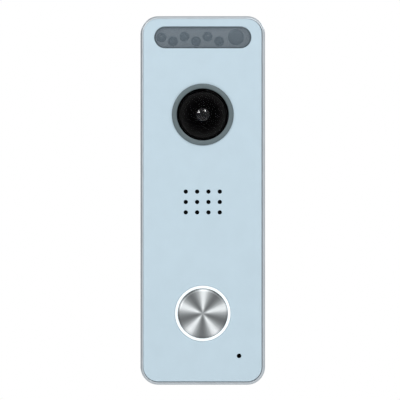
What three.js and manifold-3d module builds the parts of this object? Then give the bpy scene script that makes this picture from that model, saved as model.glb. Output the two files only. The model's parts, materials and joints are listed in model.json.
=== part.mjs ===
// Slim door intercom panel: a metal shell with an inset face plate, an infrared window, a tilting camera,
// a speaker, a microphone and a lit call button, hung on a wall bracket.
//
// Millimetres. +Z is up, the wall is the plane y = 0 and the front faces -Y. x and z are zero at the middle.
// "front" is always the smaller y of a piece and "back" the larger one.

import * as THREE from "three";
import { mergeVertices } from "three/addons/utils/BufferGeometryUtils.js";
import Module from "manifold-3d";

const wasm = await Module();
wasm.setup();

// ---- driving dimensions ----

const FIT = 0.05; // gap left between two faces that touch
const OVER = 1; // how far a cutter runs past the face it cuts
const FINE = 32; // facets round a large circle
const COARSE = 10; // facets round a small one
const ARC = 3; // divisions of a corner arc, two facets each

const PANEL = { width: 41.2, height: 122, depth: 26, corner: 5.9, wall: 1.8 };
const FRONT = -PANEL.depth;
const BOTTOM = -PANEL.height / 2;
const RIM = { inset: 0.8, rise: 1.4, steps: 5 }; // rounded front edge of the shell
const POCKET_INSET = 0.85; // opening in the shell that takes the face plate
const PLATE = { inset: 1.02, thickness: 1.4, shift: 0.1 }; // it sits up and to the left in its pocket
const PLATE_BACK = FRONT + PLATE.thickness;
const LEDGE = { inset: 2.9, front: PLATE_BACK + FIT, back: -23.4 }; // the plate rests on it
const SEAL = { thickness: 0.8, outer: 0.3, inner: 1.7, drain: 9 };
const SHELL_BACK = -SEAL.thickness - FIT;
const COVER = { front: -6.8, back: -5.0, inset: 1.95, recess: 0.5 };
const COVER_SCREW = { head: 2.05, sunk: 1.0, proud: 0.1, tip: -12.5, boss: 2.2, bore: 1.0 };
const COVER_SCREW_PLACES = [45, -56.4].flatMap((z) => [[-16, z], [16, z]]);
const CATCH = { halfWidth: 9, front: -2.9, back: -1.6, bottom: 58.6, top: 59.6 }; // hangs on the hook

const BRACKET = { width: 33, top: 58.4, bottom: -57.1, thickness: 1.2, corner: 3, rib: 13, ribLength: 76 };
const HOOK = { halfWidth: 8, front: -4.6, lip: 1.0, rise: 0.6 };
const FOOT = { halfWidth: 4.5, front: -7.6 };
const CABLE_WINDOW = { width: 20, height: 26, corner: 3, z: -19 };
const WALL_SLOT = { width: 4.5, length: 9, z: 42 };
const LOCK = { y: -5.0, head: 2.75, shank: 1.5, headTop: -59.1, tip: -54.6, socket: 1.3 };
const LOCK_BOSS = { halfWidth: 5.2, front: -8.9, bottom: -59.8, top: -57.9, floor: -59.0 };

const WINDOW = { z: 53.95, width: 31.9, height: 7.0, play: 0.2, flangeX: 1.6, flangeZ: 1.2, back: -23.6 };
const LEDS = { count: 6, x: -13.7, pitch: 3.82, first: 0.1, high: 0.35, low: -1.2, radius: 1.5, rim: 1.9 };
const LED_DEPTHS = { tip: -22.95, back: -17.65, rim: 1.0 };
const PHOTOCELL = { x: 11.0, z: 0.15, radius: 2.5, front: -23.0, back: -21.0, leg: 0.25, legX: 1.7 };
const HOLDER = { width: 31.2, height: 6.4, front: -23.5, back: -19.2, play: 0.15 };
const LED_BOARD = { width: 31.4, height: 8, front: -17.6, back: -16.6 };

const CAMERA = { z: 28.45, pivotY: -17.5, bezel: 10.2, opening: 8.6, barrel: 7.9, lens: 4.0 };
const BEZEL = { proud: 0.6, edge: 0.35, seat: 9.3, bore: 8.65, lip: 8.1, lipFront: -25.2, lipBack: -24.9 };
const GLASS = { radius: 8.55, front: -26.3, back: -25.5, gasket: 0.2 };
const YOKE = { width: 36.6, height: 24, front: -23.15, thickness: 1, opening: 9.6 };
const EAR = { x: 14.5, thickness: 1, halfHeight: 3.4, back: -15.9 };
const PIN = { radius: 1.3, play: 0.1, inner: 13, outer: 15.3 }; // the camera tilts on two of these
const CRADLE = { halfWidth: 13.55, halfHeight: 12.5, front: -9.8, back: -8.8, opening: 8.5 };
const CRADLE_ARM = { x: 12.95, thickness: 1.2, front: -19.2, halfHeight: 4 };
const BARREL = { seat: -21.4, back: -14.5, mouth: 7.55, front: -23.6, step: -20.2, neck: 5.9 };
const LENS = { rise: 1.3, back: -21.45, steps: 5 };
const LENS_HOLDER = { collar: 7.4, bore: 6.0, front: -17.8, foot: 17, footBack: -10.9 };
const SENSOR_BOARD = { size: 24, front: -10.85, back: -9.85 };
const SENSOR = { half: 3.5, front: -11.7, window: 4.5 };
const CAMERA_PLUG = { halfWidth: 4, halfHeight: 2, back: -7.9 };

const SPEAKER = { z: -0.5, radius: 11.5, pitchX: 3.75, pitchZ: 3.43, columns: 4, rows: 3, hole: 0.7 };
const SPEAKER_DEPTHS = { meshBack: -24.35, gasketBack: -23.3, frameBack: -22.25, basket: -19.8 };
const MAGNET = { radius: 7.0, back: -15.5 };
const CLAMP = { bore: 11.6, outer: 12.8, lip: 10.5, front: -24.3, back: -21.2 };
const MIC = { x: 12.0, z: -51.4, hole: 0.75, radius: 2.95, front: -22.65, back: -18.6 };
const BOOT = { radius: 4.2, hole: 0.8, back: -19, play: 0.1 };

const BUTTON = { z: -37.35, cap: 8.12, proud: 1.0, edge: 0.5, back: -23.1, skirt: 7.4, crown: -25.4 };
const LIGHT_RING = { inner: 8.25, outer: 9.2, flange: 10.4, proud: 0.3, edge: 0.15, back: -23.65 };
const BACKLIGHT = { inner: 8.35, outer: 10.4, front: -22.6, back: -21.8, lamp: 0.6, lampFront: -23.3 };
const PLUNGER = { head: 7.2, headBack: -24.3, stem: 2.2, catch: 2.8, catchFront: -17.9, back: -17.1 };
const SPRING = { radius: 3.4, wire: 0.3, turns: 4, front: -23.95, back: -20.35, steps: 56 };
const GUIDE = { rim: 10.4, bore: 9.2, stemBore: 2.4, front: -21.75, floor: -20.0, back: -18.9 };
const GUIDE_POST = { radius: 1.1, circle: 8.8 };
const SWITCH = { half: 3, front: -15.5, well: 1.85, wellBack: -13.2 };
const SWITCH_PLUNGER = { radius: 1.7, front: -17.05, back: -14.6 };

const MAIN_BOARD = { front: -12.0, back: -10.8, width: 32.4, top: 9, bottom: -54, corner: 1.5, hole: 1.1 };
const BOARD_SCREW = { x: 14.9, z: 5.6, head: 1.9, headHeight: 1.1, tip: -17, boreFront: -18 };
const BOARD_BOSS = { inner: 13, outer: 19.5, bottom: 3.3, top: 7.9 };
const SPARE_HOLE = { x: 13, z: -51 };
const SCREW_SHANK = 0.9;
const CROSS = { arm: 0.62, halfWidth: 0.25, depth: 0.6 }; // recess in a head; arm is a share of its radius
const TERMINAL = { z: -19.5, width: 14.4, height: 9, front: -10.75, back: -3.2, ways: 4, pitch: 3.4 };
const TERMINAL_PLAY = 1.2; // how much wider the cover's opening is
const CLAMP_SCREW = { row: 2.0, well: 1.35, depth: 2.2, head: 1.25, top: 0.8, slot: 0.2, slotDepth: 0.5 };
const WIRE_WELL = { row: -2.2, halfWidth: 1.1, halfHeight: 1.3, depth: 5.5 };
const CHIP = { half: 4.5, z: -2, back: -9.5 };
const CAPACITOR = { radius: 3.1, x: 12, z: -4.5, front: -17.5 };
const TRIMMER = { x: -9.5, z: -37, size: 6.6, back: -7.6, well: 2.05, wellFront: -8.8 };
const ROTOR = { radius: 1.9, front: -8.75, back: -7.0, slotArm: 1.4, slot: 0.3, slotDepth: 0.6 };
const FOOT_WELL = { halfWidth: 6.6, wall: 1.0, front: -10.2, bottom: -58.9, top: -53.0 }; // for the foot
const FIELD = { width: 24, height: 30, corner: 2, z: 22 }; // shallow recess on the rear cover

// ---- finishes ----

const finish = (color, roughness, metalness = 0) =>
  new THREE.MeshStandardMaterial({ color, roughness, metalness });
const silver = finish(0x9fa8ae, 0.4, 0.8);
const paleBlue = finish(0xc3d7e2, 0.5, 0.2);
const smoked = finish(0x6c757c, 0.2);
const ringGrey = finish(0x69757a, 0.4, 0.3);
const lampGrey = finish(0xbfc4c7, 0.5);
const black = finish(0x141414, 0.6);
const glass = finish(0x223038, 0.05);
const brushed = finish(0xb9bec0, 0.3, 1.0);
const opal = finish(0xfafcff, 0.3);
const steel = finish(0xb4b6b8, 0.35, 0.9);
const rubber = finish(0x1c1c1d, 0.85);
const boardGreen = finish(0x1d5a35, 0.5);
const terminalGreen = finish(0x2f8f4e, 0.5);
const trimmerBlue = finish(0x2b55a0, 0.5);
const darkMetal = finish(0x55585a, 0.4, 0.7);

// ---- shapes: every helper returns a manifold-3d solid ----

function solidOf(geometry) {
  const flat = geometry.index ? geometry.toNonIndexed() : geometry;
  const bare = new THREE.BufferGeometry().setAttribute("position", flat.getAttribute("position"));
  const merged = mergeVertices(bare, 1e-4);
  return new wasm.Manifold(
    new wasm.Mesh({
      numProp: 3,
      vertProperties: merged.attributes.position.array,
      triVerts: new Uint32Array(merged.index.array),
    }),
  );
}

const joined = (...solids) => solids.reduce((a, b) => a.add(b));
const cut = (body, ...tools) => tools.reduce((a, b) => a.subtract(b), body);

// A rectangle with round corners in the x, z plane.
function roundedRect(width, height, radius, x = 0, z = 0) {
  const [a, b] = [width / 2 - radius, height / 2 - radius];
  const quarter = Math.PI / 2;
  const shape = new THREE.Shape();
  shape.absarc(x + a, z + b, radius, 0, quarter);
  shape.absarc(x - a, z + b, radius, quarter, 2 * quarter);
  shape.absarc(x - a, z - b, radius, 2 * quarter, 3 * quarter);
  shape.absarc(x + a, z - b, radius, 3 * quarter, 4 * quarter);
  return shape;
}

// A rectangle whose short ends are half circles.
const stadium = (width, height, x = 0, z = 0) =>
  roundedRect(width, height, Math.min(width, height) / 2 - 1e-3, x, z);

// The panel's outline, moved inwards.
const panelOutline = (inset) =>
  roundedRect(PANEL.width - 2 * inset, PANEL.height - 2 * inset, PANEL.corner - inset);

// An outline in x, z made into a plate between two depths.
function plate(outline, front, back, curveSegments = ARC) {
  const depth = back - front;
  const geometry = new THREE.ExtrudeGeometry(outline, { depth, bevelEnabled: false, curveSegments });
  return solidOf(geometry.rotateX(Math.PI / 2).translate(0, back, 0));
}

function block(x0, x1, front, back, z0, z1) {
  const box = new THREE.BoxGeometry(x1 - x0, back - front, z1 - z0);
  return solidOf(box.translate((x0 + x1) / 2, (front + back) / 2, (z0 + z1) / 2));
}

// A block that reaches the same way to both sides of x and of z.
const centredBlock = (x, halfWidth, front, back, z, halfHeight) =>
  block(x - halfWidth, x + halfWidth, front, back, z - halfHeight, z + halfHeight);

// A round bar along Y.
function rod(radius, front, back, x = 0, z = 0, facets = FINE) {
  const bar = new THREE.CylinderGeometry(radius, radius, back - front, facets);
  return solidOf(bar.translate(x, (front + back) / 2, z));
}

// A round bar along X.
function rodX(radius, x0, x1, y, z, facets = 2 * COARSE) {
  const bar = new THREE.CylinderGeometry(radius, radius, x1 - x0, facets);
  return solidOf(bar.rotateZ(Math.PI / 2).translate((x0 + x1) / 2, y, z));
}

// A round bar along Z.
function rodZ(radius, z0, z1, x, y, facets = 2 * COARSE) {
  const bar = new THREE.CylinderGeometry(radius, radius, z1 - z0, facets);
  return solidOf(bar.rotateX(Math.PI / 2).translate(x, y, (z0 + z1) / 2));
}

// A profile of [radius, y] points turned about the Y axis at x, z.
function turned(profile, x = 0, z = 0, facets = FINE) {
  const onAxis = profile[0][0] === 0 && profile.at(-1)[0] === 0;
  const loop = onAxis ? profile : [...profile, profile[0]];
  const area = loop.reduce((sum, [r, y], i) => {
    const [nextR, nextY] = loop[(i + 1) % loop.length];
    return sum + r * nextY - nextR * y;
  }, 0);
  const ordered = area < 0 ? loop.toReversed() : loop;
  const points = ordered.map(([r, y]) => new THREE.Vector2(r, y));
  return solidOf(new THREE.LatheGeometry(points, facets).translate(x, 0, z));
}

// A ring with a rectangular section.
const washer = (inner, outer, front, back) =>
  turned([[inner, front], [outer, front], [outer, back], [inner, back]]);

// A closed solid through a row of [depth, outline] sections, from the back one to the front one.
function loft(sections) {
  const rings = sections.map(([y, outline]) => outline.getPoints(ARC).map((p) => [p.x, y, p.y]));
  const size = rings[0].length;
  const index = [];
  for (let ring = 0; ring + 1 < rings.length; ring++) {
    for (let i = 0; i < size; i++) {
      const a = ring * size + i;
      const b = ring * size + ((i + 1) % size);
      index.push(a, b, b + size, a, b + size, a + size);
    }
  }
  const contour = rings[0].map(([x, , z]) => new THREE.Vector2(x, z));
  const lastRing = (rings.length - 1) * size;
  for (const [a, b, c] of THREE.ShapeUtils.triangulateShape(contour, [])) {
    index.push(a, c, b, a + lastRing, b + lastRing, c + lastRing);
  }
  const geometry = new THREE.BufferGeometry();
  geometry.setAttribute("position", new THREE.Float32BufferAttribute(rings.flat(2), 3));
  return solidOf(geometry.setIndex(index));
}

// A helix about the Y axis.
class Helix extends THREE.Curve {
  constructor(radius, turns, front, back) {
    super();
    Object.assign(this, { radius, turns, front, back });
  }

  getPoint(t, target = new THREE.Vector3()) {
    const angle = 2 * Math.PI * this.turns * t;
    const y = this.front + (this.back - this.front) * t;
    return target.set(this.radius * Math.cos(angle), y, this.radius * Math.sin(angle));
  }
}

// The [radius, y] points of a dome that bulges to the front, from its tip to its rim.
function domeProfile(radius, rise, tip, steps) {
  const curve = (radius ** 2 + rise ** 2) / (2 * rise); // radius of the spherical surface
  return Array.from({ length: steps + 1 }, (_, i) => {
    const r = (radius * i) / steps;
    return [r, tip + curve - Math.sqrt(curve ** 2 - r ** 2)];
  });
}

function part(name, material, solid) {
  const { vertProperties, triVerts } = solid.getMesh();
  const geometry = new THREE.BufferGeometry();
  geometry.setAttribute("position", new THREE.BufferAttribute(vertProperties, 3));
  geometry.setIndex(new THREE.BufferAttribute(triVerts, 1));
  const mesh = new THREE.Mesh(geometry, material);
  mesh.name = name;
  return mesh;
}

function groupAt(x, y, z, ...children) {
  const group = new THREE.Group();
  group.position.set(x, y, z);
  group.add(...children);
  return group;
}

// ---- wall bracket and its lock screw ----

function wallBracket() {
  const { width, top, bottom, thickness, corner } = BRACKET;
  const sheetBack = -0.2; // the flanges and ribs run this far into the sheet
  const sheet = plate(roundedRect(width, top - bottom, corner, 0, (top + bottom) / 2), -thickness, 0);
  const flange = block(-HOOK.halfWidth, HOOK.halfWidth, HOOK.front, sheetBack, top - thickness, top);
  const lipBack = HOOK.front + HOOK.lip;
  const lip = block(-HOOK.halfWidth, HOOK.halfWidth, HOOK.front, lipBack, top - 1, top + HOOK.rise);
  const foot = block(-FOOT.halfWidth, FOOT.halfWidth, FOOT.front, sheetBack, bottom, bottom + thickness);
  const ribHalf = BRACKET.ribLength / 2;
  const ribs = [-BRACKET.rib, BRACKET.rib].map((x) => centredBlock(x, 0.7, -2.0, -1.0, 0, ribHalf));
  const hole = CABLE_WINDOW;
  const window = roundedRect(hole.width, hole.height, hole.corner, 0, hole.z);
  const slots = [WALL_SLOT.z, -WALL_SLOT.z].map((z) => stadium(WALL_SLOT.width, WALL_SLOT.length, 0, z));
  return part("wall_bracket", steel, cut(
    joined(sheet, flange, lip, foot, ...ribs),
    ...[window, ...slots].map((outline) => plate(outline, -thickness - OVER, OVER)),
    rodZ(LOCK.shank + 0.1, bottom - OVER, bottom + thickness + OVER, 0, LOCK.y),
  ));
}

function lockScrew() {
  const headBottom = BOTTOM + 0.1;
  const head = rodZ(LOCK.head, headBottom, LOCK.headTop, 0, LOCK.y);
  const shank = rodZ(LOCK.shank, LOCK.headTop - 0.5, LOCK.tip, 0, LOCK.y);
  const socket = rodZ(LOCK.socket, headBottom - OVER, headBottom + 1.1, 0, LOCK.y, 6);
  return part("lock_screw", steel, cut(joined(head, shank), socket));
}

// ---- housing ----

// The outer surface, from the slightly drawn-in rear edge to the rounded front rim.
function shellOutside() {
  const rim = Array.from({ length: RIM.steps + 1 }, (_, i) => {
    const angle = (i / RIM.steps) * (Math.PI / 2);
    const inset = RIM.inset * (1 - Math.cos(angle));
    return [FRONT + RIM.rise * (1 - Math.sin(angle)), panelOutline(inset)];
  });
  return loft([[SHELL_BACK, panelOutline(0.3)], [SHELL_BACK - 0.5, panelOutline(0)], ...rim]);
}

// The posts and ribs inside the shell that the cover, the board, the bracket and the lock screw meet.
function shellBosses() {
  const bossFront = LEDGE.back - 0.2;
  const { boss } = COVER_SCREW;
  const coverPosts = COVER_SCREW_PLACES.map(([x, z]) => rod(boss, bossFront, COVER.front - FIT, x, z, 24));
  const boardPosts = [-1, 1].map((side) => {
    const [x0, x1] = [side * BOARD_BOSS.inner, side * BOARD_BOSS.outer].sort((a, b) => a - b);
    return block(x0, x1, bossFront, MAIN_BOARD.front - FIT, BOARD_BOSS.bottom, BOARD_BOSS.top);
  });
  const ribHalf = CATCH.halfWidth;
  const catchRib = block(-ribHalf, ribHalf, CATCH.front, CATCH.back, CATCH.bottom, CATCH.top);
  const { halfWidth, front, bottom, top } = LOCK_BOSS;
  const lockBoss = block(-halfWidth, halfWidth, front, SHELL_BACK, bottom, top);
  return [...coverPosts, ...boardPosts, catchRib, lockBoss];
}

// The open-backed slot that lets the shell swing off round the lock screw.
const lockCutter = (radius, z0, z1) =>
  joined(rodZ(radius, z0, z1, 0, LOCK.y), block(-radius, radius, LOCK.y, OVER, z0, z1));

function housingShell() {
  const outside = shellOutside();
  const hollow = cut(
    outside,
    plate(panelOutline(POCKET_INSET), FRONT - OVER, LEDGE.front),
    plate(panelOutline(LEDGE.inset), LEDGE.front - OVER, LEDGE.back + OVER),
    plate(panelOutline(PANEL.wall), LEDGE.back, OVER),
  );
  // The bosses are trimmed back to the outer surface.
  const trimmed = joined(hollow, ...shellBosses()).intersect(outside);
  const screwBore = (front, back, x, z) => rod(COVER_SCREW.bore, front, back, x, z, COARSE);
  const coverBoreFront = COVER_SCREW.tip - 1.5;
  const { x, z, boreFront } = BOARD_SCREW;
  return part("housing_shell", silver, cut(
    trimmed,
    ...COVER_SCREW_PLACES.map(([px, pz]) => screwBore(coverBoreFront, COVER.front + OVER, px, pz)),
    ...[-x, x].map((px) => screwBore(boreFront, MAIN_BOARD.front + OVER, px, z)),
    lockCutter(LOCK.head + 0.35, BOTTOM - OVER, LOCK_BOSS.floor),
    lockCutter(LOCK.shank + 0.3, LOCK_BOSS.floor - 0.5, LOCK_BOSS.top + OVER),
  ));
}

function facePlate() {
  const { inset, shift } = PLATE;
  const [width, height] = [PANEL.width - 2 * inset, PANEL.height - 2 * inset];
  const body = plate(roundedRect(width, height, PANEL.corner - inset, -shift, shift), FRONT, PLATE_BACK);
  const through = (radius, x, z, facets) => rod(radius, FRONT - OVER, PLATE_BACK + OVER, x, z, facets);
  const grille = [];
  for (let column = 0; column < SPEAKER.columns; column++) {
    for (let row = 0; row < SPEAKER.rows; row++) {
      const x = (column - (SPEAKER.columns - 1) / 2) * SPEAKER.pitchX;
      const z = SPEAKER.z + (row - (SPEAKER.rows - 1) / 2) * SPEAKER.pitchZ;
      grille.push(through(SPEAKER.hole, x, z, COARSE));
    }
  }
  const windowSlot = stadium(WINDOW.width + WINDOW.play, WINDOW.height + WINDOW.play, 0, WINDOW.z);
  return part("face_plate", paleBlue, cut(
    body,
    plate(windowSlot, FRONT - OVER, PLATE_BACK + OVER, 5),
    through(BEZEL.seat + 0.1, 0, CAMERA.z),
    through(LIGHT_RING.outer + 0.1, 0, BUTTON.z),
    through(MIC.hole, MIC.x, MIC.z, COARSE),
    ...grille,
  ));
}

function wallSeal() {
  const ring = cut(
    plate(panelOutline(SEAL.outer), -SEAL.thickness, 0),
    plate(panelOutline(SEAL.inner), -SEAL.thickness - OVER, OVER),
  );
  const half = SEAL.drain / 2;
  const drain = block(-half, half, -SEAL.thickness - OVER, OVER, BOTTOM - OVER, BOTTOM + 3);
  return part("wall_seal", rubber, cut(ring, drain));
}

function rearCover() {
  const { front, back, inset, recess } = COVER;
  const { halfWidth, wall, bottom, top } = FOOT_WELL;
  const sheet = plate(panelOutline(inset), front, back);
  const wellOutside = block(-halfWidth, halfWidth, FOOT_WELL.front, front + 0.5, bottom, top);
  const inside = halfWidth - wall;
  const wellInside = block(-inside, inside, FOOT_WELL.front + wall, OVER, BOTTOM - OVER, top - wall);
  const holes = COVER_SCREW_PLACES.map(([x, z]) => rod(1.25, front - OVER, back + OVER, x, z, COARSE));
  const sunk = back - COVER_SCREW.sunk;
  const counterbores = COVER_SCREW_PLACES.map(([x, z]) =>
    rod(COVER_SCREW.head + 0.3, sunk, back + OVER, x, z, 2 * COARSE));
  const [terminalWidth, terminalHeight] = [TERMINAL.width + TERMINAL_PLAY, TERMINAL.height + TERMINAL_PLAY];
  const terminalHole = roundedRect(terminalWidth, terminalHeight, TERMINAL_PLAY, 0, TERMINAL.z);
  const field = roundedRect(FIELD.width, FIELD.height, FIELD.corner, 0, FIELD.z);
  return part("rear_cover", black, cut(
    joined(sheet, wellOutside),
    wellInside,
    ...holes,
    ...counterbores,
    plate(terminalHole, front - OVER, back + OVER),
    plate(field, back - recess, back + OVER),
    rod(ROTOR.radius + 0.4, front - OVER, back + OVER, TRIMMER.x, TRIMMER.z, 2 * COARSE),
  ));
}

// A pan-head screw along Y with a cross recess, its head at the back.
function panScrew(name, x, z, headRadius, headFront, headBack, tip) {
  const head = rod(headRadius, headFront, headBack, x, z, 2 * COARSE);
  const shank = rod(SCREW_SHANK, tip, headFront + 0.2, x, z, COARSE);
  const arm = headRadius * CROSS.arm;
  const [recessFront, recessBack] = [headBack - CROSS.depth, headBack + OVER];
  return part(name, steel, cut(
    joined(head, shank),
    centredBlock(x, arm, recessFront, recessBack, z, CROSS.halfWidth),
    centredBlock(x, CROSS.halfWidth, recessFront, recessBack, z, arm),
  ));
}

function coverScrews() {
  const { head, sunk, proud, tip } = COVER_SCREW;
  const headFront = COVER.back - sunk + FIT;
  return COVER_SCREW_PLACES.map(([x, z], i) =>
    panScrew(`cover_screw_${i + 1}`, x, z, head, headFront, COVER.back + proud, tip));
}

// ---- infrared lamp window, about its own centre ----

const ledPlaces = Array.from({ length: LEDS.count }, (_, i) => ({
  x: LEDS.x + i * LEDS.pitch,
  z: i === 0 ? LEDS.first : i % 2 ? LEDS.low : LEDS.high,
}));

function irWindow() {
  const { width, height, flangeX, flangeZ, back } = WINDOW;
  const pane = plate(stadium(width, height), FRONT, PLATE_BACK + 0.2, 5);
  const flange = plate(stadium(width + flangeX, height + flangeZ), PLATE_BACK + FIT, back, 5);
  return part("ir_window", smoked, joined(pane, flange));
}

function ledHolder() {
  const { width, height, front, back, play } = HOLDER;
  const bore = (radius, x, z) => rod(radius + play, front - OVER, back + OVER, x, z, 2 * COARSE);
  return part("led_holder", lampGrey, cut(
    plate(stadium(width, height), front, back, 4),
    ...ledPlaces.map(({ x, z }) => bore(LEDS.radius, x, z)),
    bore(PHOTOCELL.radius, PHOTOCELL.x, PHOTOCELL.z),
  ));
}

function irLed(place, i) {
  const { tip, back, rim } = LED_DEPTHS;
  const dome = Array.from({ length: 4 }, (_, k) => {
    const angle = (k / 3) * (Math.PI / 2);
    return [LEDS.radius * Math.sin(angle), tip + LEDS.radius * (1 - Math.cos(angle))];
  });
  const base = [[LEDS.radius, back - rim], [LEDS.rim, back - rim], [LEDS.rim, back], [0, back]];
  return part(`ir_led_${i + 1}`, glass, turned([...dome, ...base], place.x, place.z, 12));
}

function photocell() {
  const { x, z, radius, front, back, leg, legX } = PHOTOCELL;
  const legs = [-legX, legX].map((side) => rod(leg, back - 0.5, LED_DEPTHS.back, x + side, z, 8));
  return part("photocell", darkMetal, joined(rod(radius, front, back, x, z, 24), ...legs));
}

function ledBoard() {
  const { width, height, front, back } = LED_BOARD;
  return part("led_board", boardGreen, plate(roundedRect(width, height, 1), front, back));
}

// ---- camera, about the lens axis: fixed bezel and yoke, and the tilting module ----

function cameraBezel() {
  const { bezel, opening } = CAMERA;
  const { proud, edge, seat, bore, lip, lipFront, lipBack } = BEZEL;
  const face = FRONT - proud;
  return part("camera_bezel", ringGrey, turned([
    [opening, face],
    [bezel - edge, face],
    [bezel, face + 0.3],
    [bezel, FRONT - FIT],
    [seat, FRONT - FIT],
    [seat, LEDGE.back],
    [bore, LEDGE.back],
    [bore, lipBack],
    [lip, lipBack],
    [lip, lipFront],
    [opening, lipFront],
  ]));
}

const cameraGlass = () => part("camera_glass", glass, rod(GLASS.radius, GLASS.front, GLASS.back));

function glassGasket() {
  const front = GLASS.back + FIT;
  return part("glass_gasket", rubber, washer(BEZEL.lip, GLASS.radius, front, front + GLASS.gasket));
}

function cameraYoke() {
  const { width, height, front, thickness, opening } = YOKE;
  const base = plate(roundedRect(width, height, 2), front, front + thickness);
  const ears = [-EAR.x, EAR.x].map((x) =>
    centredBlock(x, EAR.thickness / 2, front + 0.65, EAR.back, 0, EAR.halfHeight));
  const reach = EAR.thickness + OVER / 2;
  const bores = [-EAR.x, EAR.x].map((x) =>
    rodX(PIN.radius + PIN.play, x - reach, x + reach, CAMERA.pivotY, 0));
  const lensHole = rod(opening, front - OVER, front + thickness + OVER);
  return part("camera_yoke", black, cut(joined(base, ...ears), lensHole, ...bores));
}

function cameraCradle() {
  const { halfWidth, halfHeight, front, back, opening } = CRADLE;
  const frame = cut(
    centredBlock(0, halfWidth, front, back, 0, halfHeight),
    centredBlock(0, opening, front - OVER, back + OVER, 0, opening),
  );
  const arm = CRADLE_ARM;
  const arms = [-arm.x, arm.x].map((x) =>
    centredBlock(x, arm.thickness / 2, arm.front, front + 0.5, 0, arm.halfHeight));
  const pins = [[-PIN.outer, -PIN.inner], [PIN.inner, PIN.outer]]
    .map(([x0, x1]) => rodX(PIN.radius, x0, x1, CAMERA.pivotY, 0));
  return part("camera_cradle", black, joined(frame, ...arms, ...pins));
}

// The barrel's mouth opens out in a cone round the front lens.
function lensBarrel() {
  const { barrel, lens } = CAMERA;
  const { seat, back, mouth, front, step, neck } = BARREL;
  const throat = lens + 0.1;
  return part("lens_barrel", black, turned([
    [0, seat],
    [throat, seat],
    [throat, seat - 0.4],
    [5.3, -22.2],
    [6.4, -22.7],
    [7.3, -23.3],
    [mouth, front],
    [barrel, front + 0.2],
    [barrel, step],
    [neck, step],
    [neck, back],
    [0, back],
  ]));
}

function frontLens() {
  const { rise, back, steps } = LENS;
  const dome = domeProfile(CAMERA.lens, rise, back - rise, steps);
  return part("front_lens", glass, turned([...dome, [0, back]], 0, 0, 24));
}

function lensHolder() {
  const { collar, bore, front, foot, footBack } = LENS_HOLDER;
  const tube = cut(rod(collar, front, footBack - 0.7), rod(bore, front - OVER, footBack + OVER));
  const base = cut(
    plate(roundedRect(foot, foot, 1), footBack - 1, footBack),
    centredBlock(0, SENSOR.window, footBack - 1 - OVER, footBack + OVER, 0, SENSOR.window),
  );
  return part("lens_holder", black, joined(tube, base));
}

function sensorBoard() {
  const { size, front, back } = SENSOR_BOARD;
  return part("sensor_board", boardGreen, plate(roundedRect(size, size, 1), front, back));
}

function imageSensor() {
  const { half, front } = SENSOR;
  return part("image_sensor", darkMetal, centredBlock(0, half, front, SENSOR_BOARD.front - FIT, 0, half));
}

function cameraPlug() {
  const { halfWidth, halfHeight, back } = CAMERA_PLUG;
  return part("camera_plug", opal, centredBlock(0, halfWidth, SENSOR_BOARD.back + FIT, back, 0, halfHeight));
}

// ---- speaker, about its own axis ----

const speakerMesh = () =>
  part("speaker_mesh", black, rod(SPEAKER.radius, PLATE_BACK + FIT, SPEAKER_DEPTHS.meshBack));

function speakerGasket() {
  const { meshBack, gasketBack } = SPEAKER_DEPTHS;
  return part("speaker_gasket", rubber, washer(9.4, SPEAKER.radius, meshBack + FIT, gasketBack));
}

// A pressed basket: flat rim, cone and flat floor, one millimetre thick.
function speakerFrame() {
  const { gasketBack, frameBack, basket } = SPEAKER_DEPTHS;
  const rimFront = gasketBack + FIT;
  return part("speaker_frame", darkMetal, turned([
    [0, basket], [6.2, basket], [9.5, rimFront], [SPEAKER.radius, rimFront],
    [SPEAKER.radius, frameBack], [10.3, frameBack], [7.2, basket + 1], [0, basket + 1],
  ]));
}

// A dust cap, the cone and its rolled surround.
function speakerCone() {
  return part("speaker_cone", black, turned([
    [0, -22.3], [1.6, -22.1], [3.0, -21.2], [4.0, -21.6], [7.2, -22.8], [8.2, -23.5], [9.2, -23.3],
    [9.1, -23.1], [8.2, -23.2], [7.3, -22.5], [4.0, -21.1], [3.0, -20.7], [1.6, -21.6], [0, -21.8],
  ]));
}

function speakerMagnet() {
  const front = SPEAKER_DEPTHS.basket + 1 + FIT;
  return part("speaker_magnet", steel, rod(MAGNET.radius, front, MAGNET.back));
}

function speakerClamp() {
  const { bore, outer, lip, front, back } = CLAMP;
  const lipFront = SPEAKER_DEPTHS.frameBack + FIT;
  return part("speaker_clamp", black, turned([
    [bore, front], [outer, front], [outer, back], [lip, back], [lip, lipFront], [bore, lipFront],
  ]));
}

// ---- microphone, about its own axis ----

const microphone = () => part("microphone", darkMetal, rod(MIC.radius, MIC.front, MIC.back, 0, 0, 24));

function microphoneBoot() {
  const front = PLATE_BACK + FIT;
  const bore = MIC.radius + BOOT.play;
  return part("microphone_boot", rubber, turned([
    [BOOT.hole, front], [BOOT.radius, front], [BOOT.radius, BOOT.back],
    [bore, BOOT.back], [bore, MIC.front - FIT], [BOOT.hole, MIC.front - FIT],
  ], 0, 0, 24));
}

// ---- call button, about its own axis ----

function lightRing() {
  const { inner, outer, flange, proud, edge, back } = LIGHT_RING;
  const face = FRONT - proud;
  const flangeFront = PLATE_BACK + FIT;
  return part("light_ring", opal, turned([
    [inner, face], [outer - edge, face], [outer, face + edge], [outer, flangeFront],
    [flange, flangeFront], [flange, back], [inner, back],
  ]));
}

function backlightBoard() {
  const { inner, outer, front, back, lamp, lampFront } = BACKLIGHT;
  const middle = (inner + outer) / 2;
  const lamps = [[middle, 0], [0, middle], [-middle, 0], [0, -middle]]
    .map(([x, z]) => centredBlock(x, lamp, lampFront, front + 0.2, z, lamp));
  return part("backlight_board", boardGreen, joined(washer(inner, outer, front, back), ...lamps));
}

function buttonCap() {
  const { cap, proud, edge, back, skirt, crown } = BUTTON;
  const face = FRONT - proud;
  return part("button_cap", brushed, turned([
    [0, face], [cap - edge, face], [cap, face + edge], [cap, back],
    [skirt, back], [skirt, crown], [0, crown],
  ]));
}

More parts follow.
